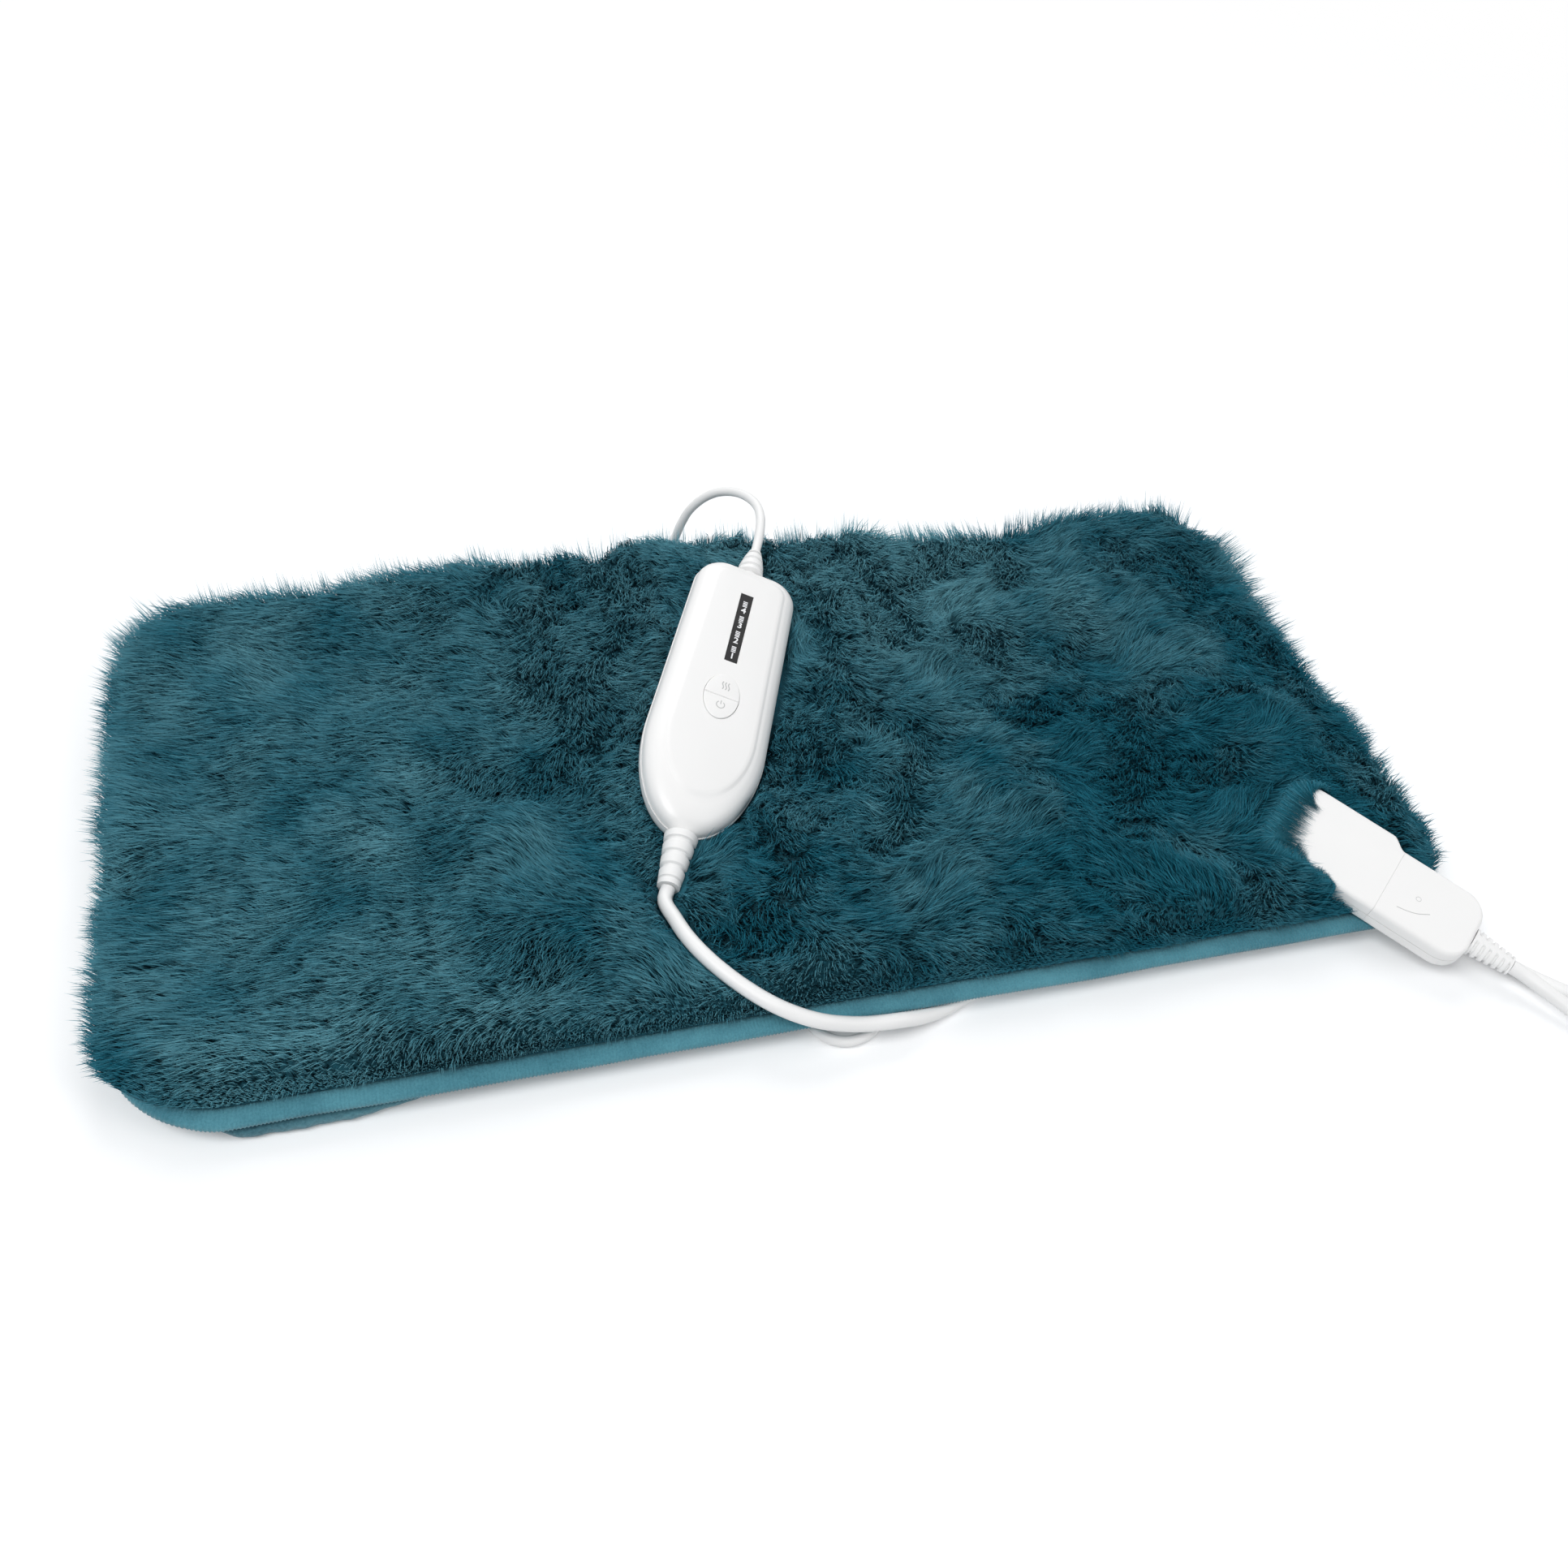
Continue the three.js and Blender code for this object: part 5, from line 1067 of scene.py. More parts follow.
def combed(x, y, turn, distance):
    """The level direction of strands at their roots: combed, curled round the whorls and turned outwards
    near the rim."""
    angle = comb(x, y)
    way_x, way_y = np.cos(angle), np.sin(angle)
    for px, py, reach, sense in WHORLS:
        dx, dy = x - px, y - py
        away = np.hypot(dx, dy)
        pull = WHORL_PULL * sense * np.exp(-((away / reach) ** 2)) / (away + 2)
        way_x, way_y = way_x - pull * dy, way_y + pull * dx
    angle = np.arctan2(way_y, way_x) + turn
    rim_x, rim_y = rim_way(x, y)
    rim = 1 - smooth_step(distance / RIM_REACH)
    front = np.where(rim_y < -FACING, 1.0, 0.0)
    left = np.where(rim_x < -FACING, 1.0, 0.0)
    right = np.where(rim_x > FACING, 1.0, 0.0) * smooth_step((60 - y) / 60)
    front_lean = FRONT_LEAN + 0.3 * smooth_step((x - 40) / 120)
    lean = RIM_LEAN * rim * (1 - front * (1 - front_lean)) * (1 - 0.6 * left) * (1 - 0.65 * right)
    way_x = np.cos(angle) * (1 - 0.8 * rim) + rim_x * lean
    way_y = np.sin(angle) * (1 - 0.8 * rim) + rim_y * lean
    return way_x, way_y, rim, front


def kept_low(paths):
    """Strands pressed down under the hard pieces by the most that any point along them rises too far."""
    x, y, z = np.moveaxis(paths, -1, 0)
    x, y = pile_place(x, y)
    paths = np.stack([x, y, z], axis=-1)
    levels = paths.shape[1]
    share = np.linspace(0, levels - 1, 3 * (levels - 1) + 1)
    low = np.minimum(share.astype(int), levels - 2)
    part = (share - low)[None, :, None]
    fine = paths[:, low] * (1 - part) + paths[:, low + 1] * part
    over = (fine[..., 2] - ceiling(fine.reshape(-1, 3)).reshape(fine.shape[:2]))[:, 1:].max(axis=1)
    paths[:, 1:, 2] -= np.maximum(over + 0.2, 0)[:, None]
    paths[..., 2] = np.maximum(paths[..., 2], EDGE_LIFT)
    return paths


# Patches of painted sheen (paler) and painted shade (darker) on the pile, where the lay of the hair catches
# more or less light: place as shares of the half length and width, amount, and reach as a share of the half
# width
SHEEN_AND_SHADE_PATCHES = [
    (-0.4, 0.3, 0.15, 0.4), (0.46, 0.62, 0.35, 0.5), (0.12, -0.35, 0.15, 0.35), (0.31, -0.48, 0.25, 0.22),
    (-0.31, -0.44, -0.15, 0.4), (-0.05, -0.5, -0.15, 0.3), (0.38, -0.1, -0.2, 0.3), (0.55, -0.15, -0.15, 0.3),
    (0.7, -0.42, -0.2, 0.6), (0.85, 0.75, 0.12, 0.35), (0.28, 0.75, 0.6, 0.45), (0.87, -0.15, -0.38, 0.38),
    (-0.85, -0.2, 0.2, 0.5), (0.55, -0.85, -0.15, 0.4), (0.3, 0.5, 0.4, 0.4), (0.58, 0, 0.3, 0.3),
    (-0.42, 0.22, 0.22, 0.25), (-0.47, -0.8, 0.35, 0.28), (-0.84, -0.97, 0.4, 0.22), (0.38, -0.72, -0.28, 0.25),
    (-0.6, 0.6, -0.28, 0.2), (0.02, 0.85, 0.25, 0.3),
]
PALEST = 1.4
MIDDLE_TINT = 0.55
RIGHT_SHADE = 0.28
# How much painted light the hem of the front left gets
HEM_PAINTED_LIGHT = 0.4


def pile_tint_and_painted_light(x, y):
    """How pale the pile is: less to the right, painted shade in dents and painted light on swells, painted
    light along the hem of the front left, and painted sheen and painted shade in the patches."""
    clouds = 0.13 * waves(x, y, 21, 130) + 0.16 * waves(x, y, 22, 45)
    total = MIDDLE_TINT + clouds - RIGHT_SHADE * smooth_step((x + 150) / 350) + bells(x, y, SHEEN_AND_SHADE_PATCHES)
    # Painted light along the hem of the front left
    hem = smooth_step((-y - 122) / 18) * (1 - smooth_step((x + 40) / 120))
    # Painted light along the hem and on swells, painted shade in dents
    return total + HEM_PAINTED_LIGHT * hem + 0.03 * np.clip(swell_height(x, y), -6, 4)


ROOT_DEPTH = 0.3


def long_strands():
    """Each strand leaves the ground along its comb direction, rises, droops and is drawn to its lock's tip."""
    lock_x, lock_y = lock_places()
    locks = len(lock_x)
    lock = np.repeat(np.arange(locks), STRANDS_PER_LOCK)
    number = len(lock)
    spread_r = LOCK_SPACING * LOCK_SPREAD * np.sqrt(RNG.uniform(0, 1, number))
    spread_a = RNG.uniform(0, 2 * np.pi, number)
    off_x, off_y = spread_r * np.cos(spread_a), spread_r * np.sin(spread_a)
    x, y = lock_x[lock] + off_x, lock_y[lock] + off_y
    distance = inset(x, y, *ROOTS)
    keep = distance > 0
    lock, off_x, off_y, x, y, distance = (a[keep] for a in (lock, off_x, off_y, x, y, distance))
    number = len(lock)
    messy = messiness(x)
    turn = RNG.normal(0, 0.2, locks)[lock] * messy + RNG.normal(0, 0.13, number)
    turn = turn + RNG.normal(0, 0.3, number) * (1 - smooth_step(distance / 14))
    way_x, way_y, rim, front = combed(x, y, turn, distance)
    long = PILE_LENGTH * RNG.uniform(0.82, 1.12, locks)[lock] * RNG.uniform(0.7, 1.12, number)
    back = np.where(rim_way(x, y)[1] > 0.6, rim, 0.0)
    long = long * (1 - RIM_SHORTER * rim * front) * (1 + BACK_LENGTH * back)
    lift = STRAND_LIFT + messy * RNG.normal(0, 0.1, locks)[lock] + RNG.normal(0, 0.08, number)
    base = pile_ground(x, y)
    lift = lift + np.maximum(pile_height(x, y) - SKIN_DEPTH - base, 0) * rim / long
    fringe = front * (1 - smooth_step(distance / FRINGE))
    lift = lift * (1 - 0.25 * fringe)
    droop = STRAND_DROOP + 0.1 * rim + 0.1 * fringe
    shorter = 1 - fringe * RNG.uniform(0, 0.6, locks)[lock]
    way_x, way_y = way_x * shorter, way_y * shorter
    t = STRAND_SHARES[None, :]
    forward = long[:, None] * (0.15 * t + 0.5 * t**1.5)
    upward = long[:, None] * (lift[:, None] * t - droop[:, None] * t**2)
    gather = ((0.25 + 0.3 * messy) * (1 - 0.65 * rim))[:, None] * t**1.2
    px = x[:, None] + way_x[:, None] * forward - off_x[:, None] * gather
    py = y[:, None] + way_y[:, None] * forward - off_y[:, None] * gather
    pz = (base - ROOT_DEPTH)[:, None] + upward
    tint_and_painted_light = pile_tint_and_painted_light(x, y) + RNG.normal(0, 0.1, locks)[lock] * messy + RNG.normal(0, 0.14, number)
    return kept_low(np.stack([px, py, pz], axis=-1)), np.clip(tint_and_painted_light, 0, PALEST)


def under_strands():
    """Short straight strands, scattered evenly and more closely along the rim, between the long ones."""
    x = RNG.uniform(-OUTER[0], OUTER[0], UNDER_STRANDS)
    y = RNG.uniform(-OUTER[1], OUTER[1], UNDER_STRANDS)
    edge = rounded_outline(*ROOTS, 1)
    edge = edge[RNG.integers(0, len(edge), RIM_STRANDS)] * (1 - RNG.uniform(0, 0.035, (RIM_STRANDS, 1)))
    edge = edge + RNG.uniform(-0.6, 0.6, (RIM_STRANDS, 2))
    x, y = np.append(x, edge[:, 0]), np.append(y, edge[:, 1])
    distance = inset(x, y, *ROOTS)
    keep = distance > 0
    x, y, distance = x[keep], y[keep], distance[keep]
    way_x, way_y, rim, front = combed(x, y, RNG.normal(0, 0.3, len(x)), distance)
    long = (UNDER_LENGTH * RNG.uniform(0.7, 1.2, len(x)) * (1 - UNDER_RIM_SHORTER * rim * front))[:, None]
    forward = long * UNDER_FORWARD * UNDER_SHARES
    px = x[:, None] + way_x[:, None] * forward
    py = y[:, None] + way_y[:, None] * forward
    pz = (pile_ground(x, y) - ROOT_DEPTH)[:, None] + long * UNDER_UPWARD * UNDER_SHARES
    tint_and_painted_light = pile_tint_and_painted_light(x, y) - 0.1 + RNG.normal(0, 0.1, len(x))
    return kept_low(np.stack([px, py, pz], axis=-1)), np.clip(tint_and_painted_light, 0, PALEST)


def add_strands(name, paths, shares, radius, tint_and_painted_light, pieces):
    """Strands as tapered three-sided spikes: rings of three points round the path, and a tip."""
    number, levels = paths.shape[:2]
    rings = levels - 1
    ahead = np.gradient(paths, axis=1)
    ahead /= np.maximum(np.linalg.norm(ahead, axis=2, keepdims=True), 1e-9)
    side = np.cross(ahead, np.array([0.0, 0.0, 1.0]))
    side /= np.maximum(np.linalg.norm(side, axis=2, keepdims=True), LEAST_LENGTH)
    over = np.cross(side, ahead)
    thick = radius * np.linspace(1, 0.85, rings)[None, :] * RNG.uniform(0.75, 1.2, (number, 1))
    turns = 2 * np.pi * (np.arange(3) / 3)[None, :] + RNG.uniform(0, 2 * np.pi, (number, 1))
    cos, sin = np.cos(turns)[:, None, :, None], np.sin(turns)[:, None, :, None]
    around = side[:, :rings, None, :] * cos + over[:, :rings, None, :] * sin
    body = paths[:, :rings, None, :] + thick[:, :, None, None] * around
    points = np.concatenate([body.reshape(number, 3 * rings, 3), paths[:, rings:, :]], axis=1)
    along = np.concatenate([np.repeat(shares[:rings], 3), [1.0]])
    i = np.arange(3)
    j = (i + 1) % 3
    level = 3 * np.arange(rings - 1)[:, None]
    quads = np.stack([level + j, level + i, level + 3 + i, level + 3 + j], axis=-1).reshape(-1, 4)
    last = 3 * (rings - 1)
    tips = np.stack([last + j, last + i, np.full(3, 3 * rings)], axis=1)
    tips = np.concatenate([tips, [[0, 1, 2]]])
    count = 3 * rings + 1
    order = np.argsort(paths[:, 0, 0], kind="stable")
    for k, block in enumerate(np.array_split(order, pieces)):
        base = (np.arange(len(block)) * count)[:, None, None]
        faces = [(tips[None] + base).reshape(-1, 3)]
        if rings > 1:
            faces.append((quads[None] + base).reshape(-1, 4))
        piece = add_mesh(f"{name}_{k + 1}", points[block].reshape(-1, 3), *faces)
        shares_all = np.tile(along, len(block)).astype(np.float32)
        tints = np.repeat(tint_and_painted_light[block], count).astype(np.float32)
        piece.data.attributes.new("along", "FLOAT", "POINT").data.foreach_set("value", shares_all)
        piece.data.attributes.new("tint_and_painted_light", "FLOAT", "POINT").data.foreach_set("value", tints)
        wear(piece, "root", PILE)


TUFT_STRANDS = 2200
TUFT_END = -20
TUFT_DEPTH = 13


def tuft_strands():
    """Strands beside the socket's inner end and near side that rise past its rim and lap over its face."""
    rim = resampled(socket_ring(0, 0, 0), 0.25)[:, :2]
    ahead, out = directions(rim)
    beside = (rim[:, 1] < -SOCKET_LENGTH + SOCKET_CORNER) | ((rim[:, 0] > 0) & (rim[:, 1] < TUFT_END))
    rim, ahead, out = rim[beside], ahead[beside], out[beside]
    out *= np.sign(((rim - (0, -SOCKET_LENGTH / 2)) * out).sum(axis=1).mean())
    at = RNG.integers(0, len(rim), TUFT_STRANDS)
    place, out, ahead = rim[at], out[at], ahead[at]
    clump = np.clip(0.4 + 0.45 * waves(place[:, 0], place[:, 1], 51, 22), 0, 1)
    clump = clump * (0.25 + 0.75 * smooth_step((place[:, 0] + 8) / 12))
    end = smooth_step((12 - SOCKET_LENGTH - place[:, 1]) / 12)
    share = np.minimum(1, (TUFT_END - place[:, 1]) / 10)
    far = np.clip((SOCKET_CORNER + 1 - SOCKET_LENGTH - place[:, 1]) / 9, 0.1, 1)
    share = np.where(place[:, 0] > 15, share, np.where(place[:, 0] < 0, far, 1))
    lap = (1 + 13 * end + 9 * clump) * RNG.uniform(0.25, 1.1, TUFT_STRANDS) * share
    slide = RNG.normal(0, 2.2, (TUFT_STRANDS, 1)) * ahead
    levels = [
        (RNG.uniform(4, 12, TUFT_STRANDS), np.full(TUFT_STRANDS, -TUFT_DEPTH), 1.0),
        (RNG.uniform(0.6, 3, TUFT_STRANDS), RNG.uniform(-1, 1.4, TUFT_STRANDS), 0.5),
        (-lap, RNG.uniform(0.3, 1.6, TUFT_STRANDS), -0.5),
    ]
    paths = [np.c_[place + out * away[:, None] + slide * skew, z] for away, z, skew in levels]
    paths = placed(CONNECTOR, np.stack(paths, axis=1).reshape(-1, 3)).reshape(-1, 3, 3)
    return paths, np.clip(0.15 + RNG.normal(0, 0.16, TUFT_STRANDS), 0, 1)


def make_pile():
    """The long strands and the short ones between them, and the tufts that lap over the socket."""
    paths, tint_and_painted_light = tuft_strands()
    add_strands("tuft", paths, STRAND_SHARES, STRAND_RADIUS, tint_and_painted_light, 1)
    paths, tint_and_painted_light = long_strands()
    add_strands("pile", paths, STRAND_SHARES, STRAND_RADIUS, tint_and_painted_light, STRAND_PIECES)
    paths, tint_and_painted_light = under_strands()
    add_strands("under_pile", paths, UNDER_SHARES, UNDER_RADIUS, tint_and_painted_light, UNDER_PIECES)


RIB_PITCH = 1.5
RIB_SAMPLES = 3
RIB_DEPTH = 0.22
BAND_SIDES = 12
BAND_WOBBLE = 0.25


def make_binding():
    """The velour binding: an oval section round the outline, ribbed across and slightly wavy in height."""
    middle = BINDING_WIDTH / 2
    step = RIB_PITCH / RIB_SAMPLES
    line = rounded_outline(PAD_LENGTH / 2 - middle, PAD_WIDTH / 2 - middle, PAD_CORNER - middle, step)
    count = len(line) // RIB_SAMPLES * RIB_SAMPLES
    line = line[:count]
    out = directions(line, closed=True)[1]
    rib = (RIB_DEPTH * np.cos(2 * np.pi * np.arange(count) / RIB_SAMPLES))[:, None]
    cos, sin = np.cos(around(BAND_SIDES)), np.sin(around(BAND_SIDES))
    across = signed_power(cos, 0.7) * (middle - RIB_DEPTH) + rib * cos
    upward = signed_power(sin, 0.8) * (BINDING_HEIGHT / 2 - RIB_DEPTH) + rib * sin
    centre = EDGE_LIFT - BINDING_DROP + BINDING_HEIGHT / 2 + BAND_WOBBLE * waves(line[:, 0], line[:, 1], 31, 60)
    x, y = drawn_out(line[:, :1] + out[:, :1] * across, line[:, 1:] + out[:, 1:] * across)
    piece = loft("binding_band", sections(x, y, centre[:, None] + upward), closed_rings=True)
    wear(piece, "root", BINDING, ["edge_binding"])


# The slack fold of the back plush that hangs under the binding at the front left
FOLD_FROM = -268
FOLD_TO = -168
FOLD_FRONT = -157.6
FOLD_DEPTH = 13
FOLD_HEIGHT = 6.9
FOLD_FLOOR = 0.15
FOLD_RINGS = 60
FOLD_SIDES = 20
FOLD_SWELL = 0.18
FOLD_RUN_OUT = 0.55
FOLD_THINNEST = 0.04


def make_fold():
    """A slack fold of the back plush: rounded sections along the front edge that swell quickly from the left
    and run out slowly to the right, by two cubic steps, with small creases."""
    t = np.linspace(0, 1, FOLD_RINGS)[:, None]
    cos, sin = np.cos(around(FOLD_SIDES)), np.sin(around(FOLD_SIDES))
    run_out = 1 - smooth_step((t - 1 + FOLD_RUN_OUT) / FOLD_RUN_OUT)
    swell = np.maximum(FOLD_THINNEST, smooth_step(t / FOLD_SWELL) ** 0.5 * run_out**0.5)
    crease = 1 + 0.05 * np.sin(9 * np.pi * t + 2 * cos) + 0.03 * np.sin(23 * np.pi * t)
    x = FOLD_FROM + (FOLD_TO - FOLD_FROM) * t
    y = FOLD_FRONT + FOLD_DEPTH / 2 + FOLD_DEPTH / 2 * swell * crease * signed_power(cos, 0.8)
    z = FOLD_FLOOR + FOLD_HEIGHT * (1 - swell) + FOLD_HEIGHT / 2 * swell * (1 + signed_power(sin, 0.8))
    wear(loft("back_fold", sections(x, y, z)), "root", BACK)


# The controller: rows of its shells as insets at side, tip and top in shares of the face height, and the level
TOP_OUTER = [
    (0.045, 0.045, 0.045, 0), (0.05, 0.06, 0.05, 0.15), (0.073, 0.091, 0.073, 0.29), (0.13, 0.19, 0.125, 0.45),
    (0.236, 0.364, 0.218, 0.595), (0.36, 0.6, 0.33, 0.71), (0.509, 0.909, 0.455, 0.797), (0.6, 1.2, 0.56, 0.85),
    (0.68, 1.5, 0.66, 0.868), (0.73, 1.6, 0.73, 0.897), (0.79, 1.7, 0.8, 0.945), (0.86, 1.8, 0.87, 0.98),
    (1, 1.909, 0.955, 1),
]
TOP_INNER = [
    (0.055, 0.055, 0.055, 0), (0.091, 0.127, 0.091, 0.3), (0.309, 0.618, 0.273, 0.618),
    (0.673, 1.527, 0.618, 0.873), (1.073, 2.164, 1.073, 1),
]
BACK_OUTER = [
    (0, 0, 0, 0), (0.006, 0.006, 0.006, 0.18), (0.027, 0.027, 0.027, 0.351), (0.08, 0.1, 0.08, 0.52),
    (0.164, 0.218, 0.164, 0.676), (0.29, 0.38, 0.29, 0.81), (0.455, 0.582, 0.455, 0.908),
    (0.63, 0.83, 0.63, 0.97), (0.818, 1.091, 0.818, 1),
]
BACK_INNER = [
    (0.036, 0.036, 0.036, 0), (0.064, 0.064, 0.064, 0.415), (0.255, 0.345, 0.255, 0.746),
    (0.664, 0.891, 0.664, 1),
]
SEAM = GAP / 2
OVAL_SIDES = 96
TOOL_REACH = 4
SCREW_PLACES = [(-18.5, 66), (18.5, 66), (-16, -50), (16, -50)]
SCREW_HOLE = 3.35
SCREW_FLOOR = -6
PANE_THICK = 1.6
PANE_PROUD = 0.02
KEY_ROUND = 0.45


def controller_ring(side, tip, top, z):
    """The outline drawn in: half an ellipse at the tip, tapering sides, round corners and a flat top end."""
    half = CTL_LENGTH / 2
    widest = CTL_WIDTH / 2 - side
    narrow = CTL_TOP_WIDTH / 2 - side
    tip_line = -half + CTL_TIP_REACH
    corner = max(CTL_CORNER - top, CTL_WALL)
    turn = np.linspace(0, np.pi / 2, 40, endpoint=False)
    point_part = np.stack([widest * np.sin(turn), tip_line - (CTL_TIP_REACH - tip) * np.cos(turn)], axis=1)
    share = np.linspace(0, 1, 16, endpoint=False)
    corner_line = half - top - corner
    sides = widest + (narrow - widest) * share
    side_part = np.stack([sides, tip_line + (corner_line - tip_line) * share], axis=1)
    corner_part = arc(narrow - corner, corner_line, corner, np.linspace(0, np.pi / 2, 14))
    share = np.linspace(1, 0, 6, endpoint=False)[1:]
    end_part = np.stack([(narrow - corner) * share, np.full(5, half - top)], axis=1)
    right = np.concatenate([point_part, side_part, corner_part, end_part])
    return at_level(np.concatenate([right, right[:0:-1] * (-1, 1)]), z)


def controller_rows(shares, wall, top):
    """Rings of a shell from its rows, drawn in by the wall, between the seam and the face."""
    seam = math.copysign(SEAM, top)
    rings = []
    for *shares_in, rise in shares:
        insets = [wall + share * CTL_FACE for share in shares_in]
        rings.append(controller_ring(*insets, seam + rise * (top - seam)))
    return rings


def in_frame(place, rings):
    """Rings of a turned frame, in the row frame."""
    rings = np.asarray(rings, float)
    return placed(place, rings.reshape(-1, 3)).reshape(rings.shape)


def prism(name, outline, low, high, place):
    """A straight prism of an outline in a turned frame."""
    return loft(name, in_frame(place, [at_level(outline, z) for z in (low, high)]), smooth=False)


def rectangle(x0, x1, y0, y1):
    """Corners of an upright rectangle."""
    return [(x0, y0), (x1, y0), (x1, y1), (x0, y1)]


def oval(extra, y0=-1e3, y1=1e3):
    """The buttons' oval, grown by extra and cut off at y0 and y1."""
    turn = around(OVAL_SIDES)
    x = (BUTTONS_WIDTH / 2 + extra) * np.cos(turn)
    y = BUTTONS_AT + (BUTTONS_LENGTH / 2 + extra) * np.sin(turn)
    return np.stack([x, np.clip(y, y0, y1)], axis=1)


def grooves(at, count, start, level, width, first, last):
    """Grooves along a sleeve from first to last: where a wave passes a level, by a cubic step over a width."""
    wave = -np.cos(2 * np.pi * count * (at - start))
    return np.where((at < first) | (at > last), 0, smooth_step((wave - level) / width))


FOOT_SHARE = 0.03
RELIEF_COLLAR = 0.4


def relief_rings(start, end, base, tip, ribs, bulge, flange_at):
    """A turned sleeve: flange, neck, ribs between grooves on a taper that bulges, and a collar at the tip."""
    groove = (base - tip) / 4 + 0.5
    at = np.linspace(0, 1, 120)
    taper = base + (tip - base) * at ** (1 + bulge * 3)
    valley = grooves(at, ribs, 0.04, 0.35, 0.45, 0.1, 0.9)
    foot = base * (1 - bulge)
    radius = np.where(at < FOOT_SHARE, foot + (taper - foot) * at / FOOT_SHARE, taper - groove * valley)
    head_r = [RELIEF_FLANGE, RELIEF_FLANGE, RELIEF_NECK, RELIEF_NECK]
    head_y = [flange_at - RELIEF_FLANGE_THICK, flange_at, flange_at, start]
    r = np.concatenate([head_r, radius, [tip - RELIEF_COLLAR]])[:, None]
    y = np.concatenate([head_y, start + (end - start) * at, [end + 0.01]])[:, None]
    turn = around(48)
    return sections(r * np.cos(turn), y, r * np.sin(turn))


def controller_shell(name, outside, inside, face):
    """One half of the controller's shell: rings down its outside and back up its inside."""
    inner = controller_rows(inside, CTL_WALL, face - math.copysign(CTL_WALL, face))
    return loft(name, in_frame(CONTROLLER, controller_rows(outside, 0, face)[::-1] + inner))


def make_controller():
    """Two shells, the window and its marks, the buttons and their signs, and the ribbed reliefs."""
    shell = controller_shell("face_shell", TOP_OUTER, TOP_INNER, CTL_FACE)
    x, y0, y1 = WINDOW_WIDTH / 2, WINDOW_AT - WINDOW_LENGTH / 2, WINDOW_AT + WINDOW_LENGTH / 2
    for opening in (rectangle(-x, x, y0, y1), oval(GAP)):
        boolean(shell, prism("tool", opening, CTL_FACE / 2, CTL_FACE + TOOL_REACH, CONTROLLER))
    wear(shell, "root", WHITE, ["controller_top"], angle=32)
    shell = controller_shell("back_shell", BACK_OUTER, BACK_INNER, -CTL_BACK)
    for px, py in SCREW_PLACES:
        hole = arc(px, py, SCREW_HOLE, around(32))
        boolean(shell, prism("tool", hole, -CTL_BACK - TOOL_REACH, SCREW_FLOOR, CONTROLLER))
    wear(shell, "root", WHITE, ["controller_back"], angle=32)
    shape = rectangle(SEAM - x, x - SEAM, y0 + SEAM, y1 - SEAM)
    pane = prism("window_pane", shape, CTL_FACE - PANE_THICK, CTL_FACE + PANE_PROUD, CONTROLLER)
    wear(pane, "root", WINDOW, ["display_window"])
    split = BUTTONS_AT + BUTTON_SPLIT / 6
    make_button("heat_key_cap", split, BUTTONS_AT + BUTTONS_LENGTH, "heat_key", "heat_button")
    below = split - BUTTON_SPLIT / 3
    make_button("power_key_cap", BUTTONS_AT - BUTTONS_LENGTH, below, "power_key", "power_button")
    half = CTL_LENGTH / 2
    for name, (length, base, tip), ribs, bulge, seat, way, solid in (
        ("top_sleeve", TOP_RELIEF, 3, 0.22, TOP_RELIEF_SEAT, 1, "top_relief"),
        ("tip_sleeve", TIP_RELIEF, 4, 0.0, TIP_RELIEF_SEAT, -1, "tip_relief"),
    ):
        rings = relief_rings(half + SOFT, half + length, base, tip, ribs, bulge, half - seat) * (way, way, 1)
        wear(loft(name, in_frame(CONTROLLER, rings)), "root", WHITE_RUBBER, [solid], angle=50)
    make_marks()


def make_button(name, y0, y1, body, solid):
    """A half-oval cap with a rounded edge: the outline drawn in over the last half millimetre of height."""
    top = CTL_FACE + BUTTON_PROUD
    levels = [(0.0, CTL_FACE - BUTTON_DEPTH), (0.0, top - KEY_ROUND)]
    for a in np.linspace(0.2, math.pi / 2, 5):
        levels.append((KEY_ROUND * (1 - math.cos(a)), top - KEY_ROUND * (1 - math.sin(a))))
    rings = [at_level(oval(GAP / 3 - draw, y0 + draw, y1 - draw), z) for draw, z in levels]
    wear(loft(name, in_frame(CONTROLLER, rings)), body, WHITE, [solid], angle=30)


def ribbon(name, line, width, low, high, place, closed=False):
    """A flat printed stroke as a thin closed strip: four corners at each station of the line."""
    side = directions(line, closed)[1] * width / 2
    edges = [at_level(line + way * side, z) for way, z in ((-1, low), (1, low), (1, high), (-1, high))]
    return loft(name, in_frame(place, np.stack(edges, axis=1)), closed_rings=closed, smooth=False)


DIGIT_HEIGHT = 3.6
DIGIT_WEIGHT = 0.1
DIGIT_TOP = 50.35
MARK_PITCH = 10.3
BARS_ABOVE = 4.2
BAR_WIDTH = 2.3
BAR_THICK = 0.62
BAR_PITCH = 1.03
INK = 0.05
SIGN_AT = 0.8
DIGIT_SHARE = 0.7
HEAT_SIGN_PITCH = 1.5
HEAT_SIGN_FROM = 4.2
HEAT_SIGN_LENGTH = 4.6
HEAT_SIGN_SWING = 0.4
POWER_SIGN_RADIUS = 2.0
POWER_SIGN_BELOW = 5.4


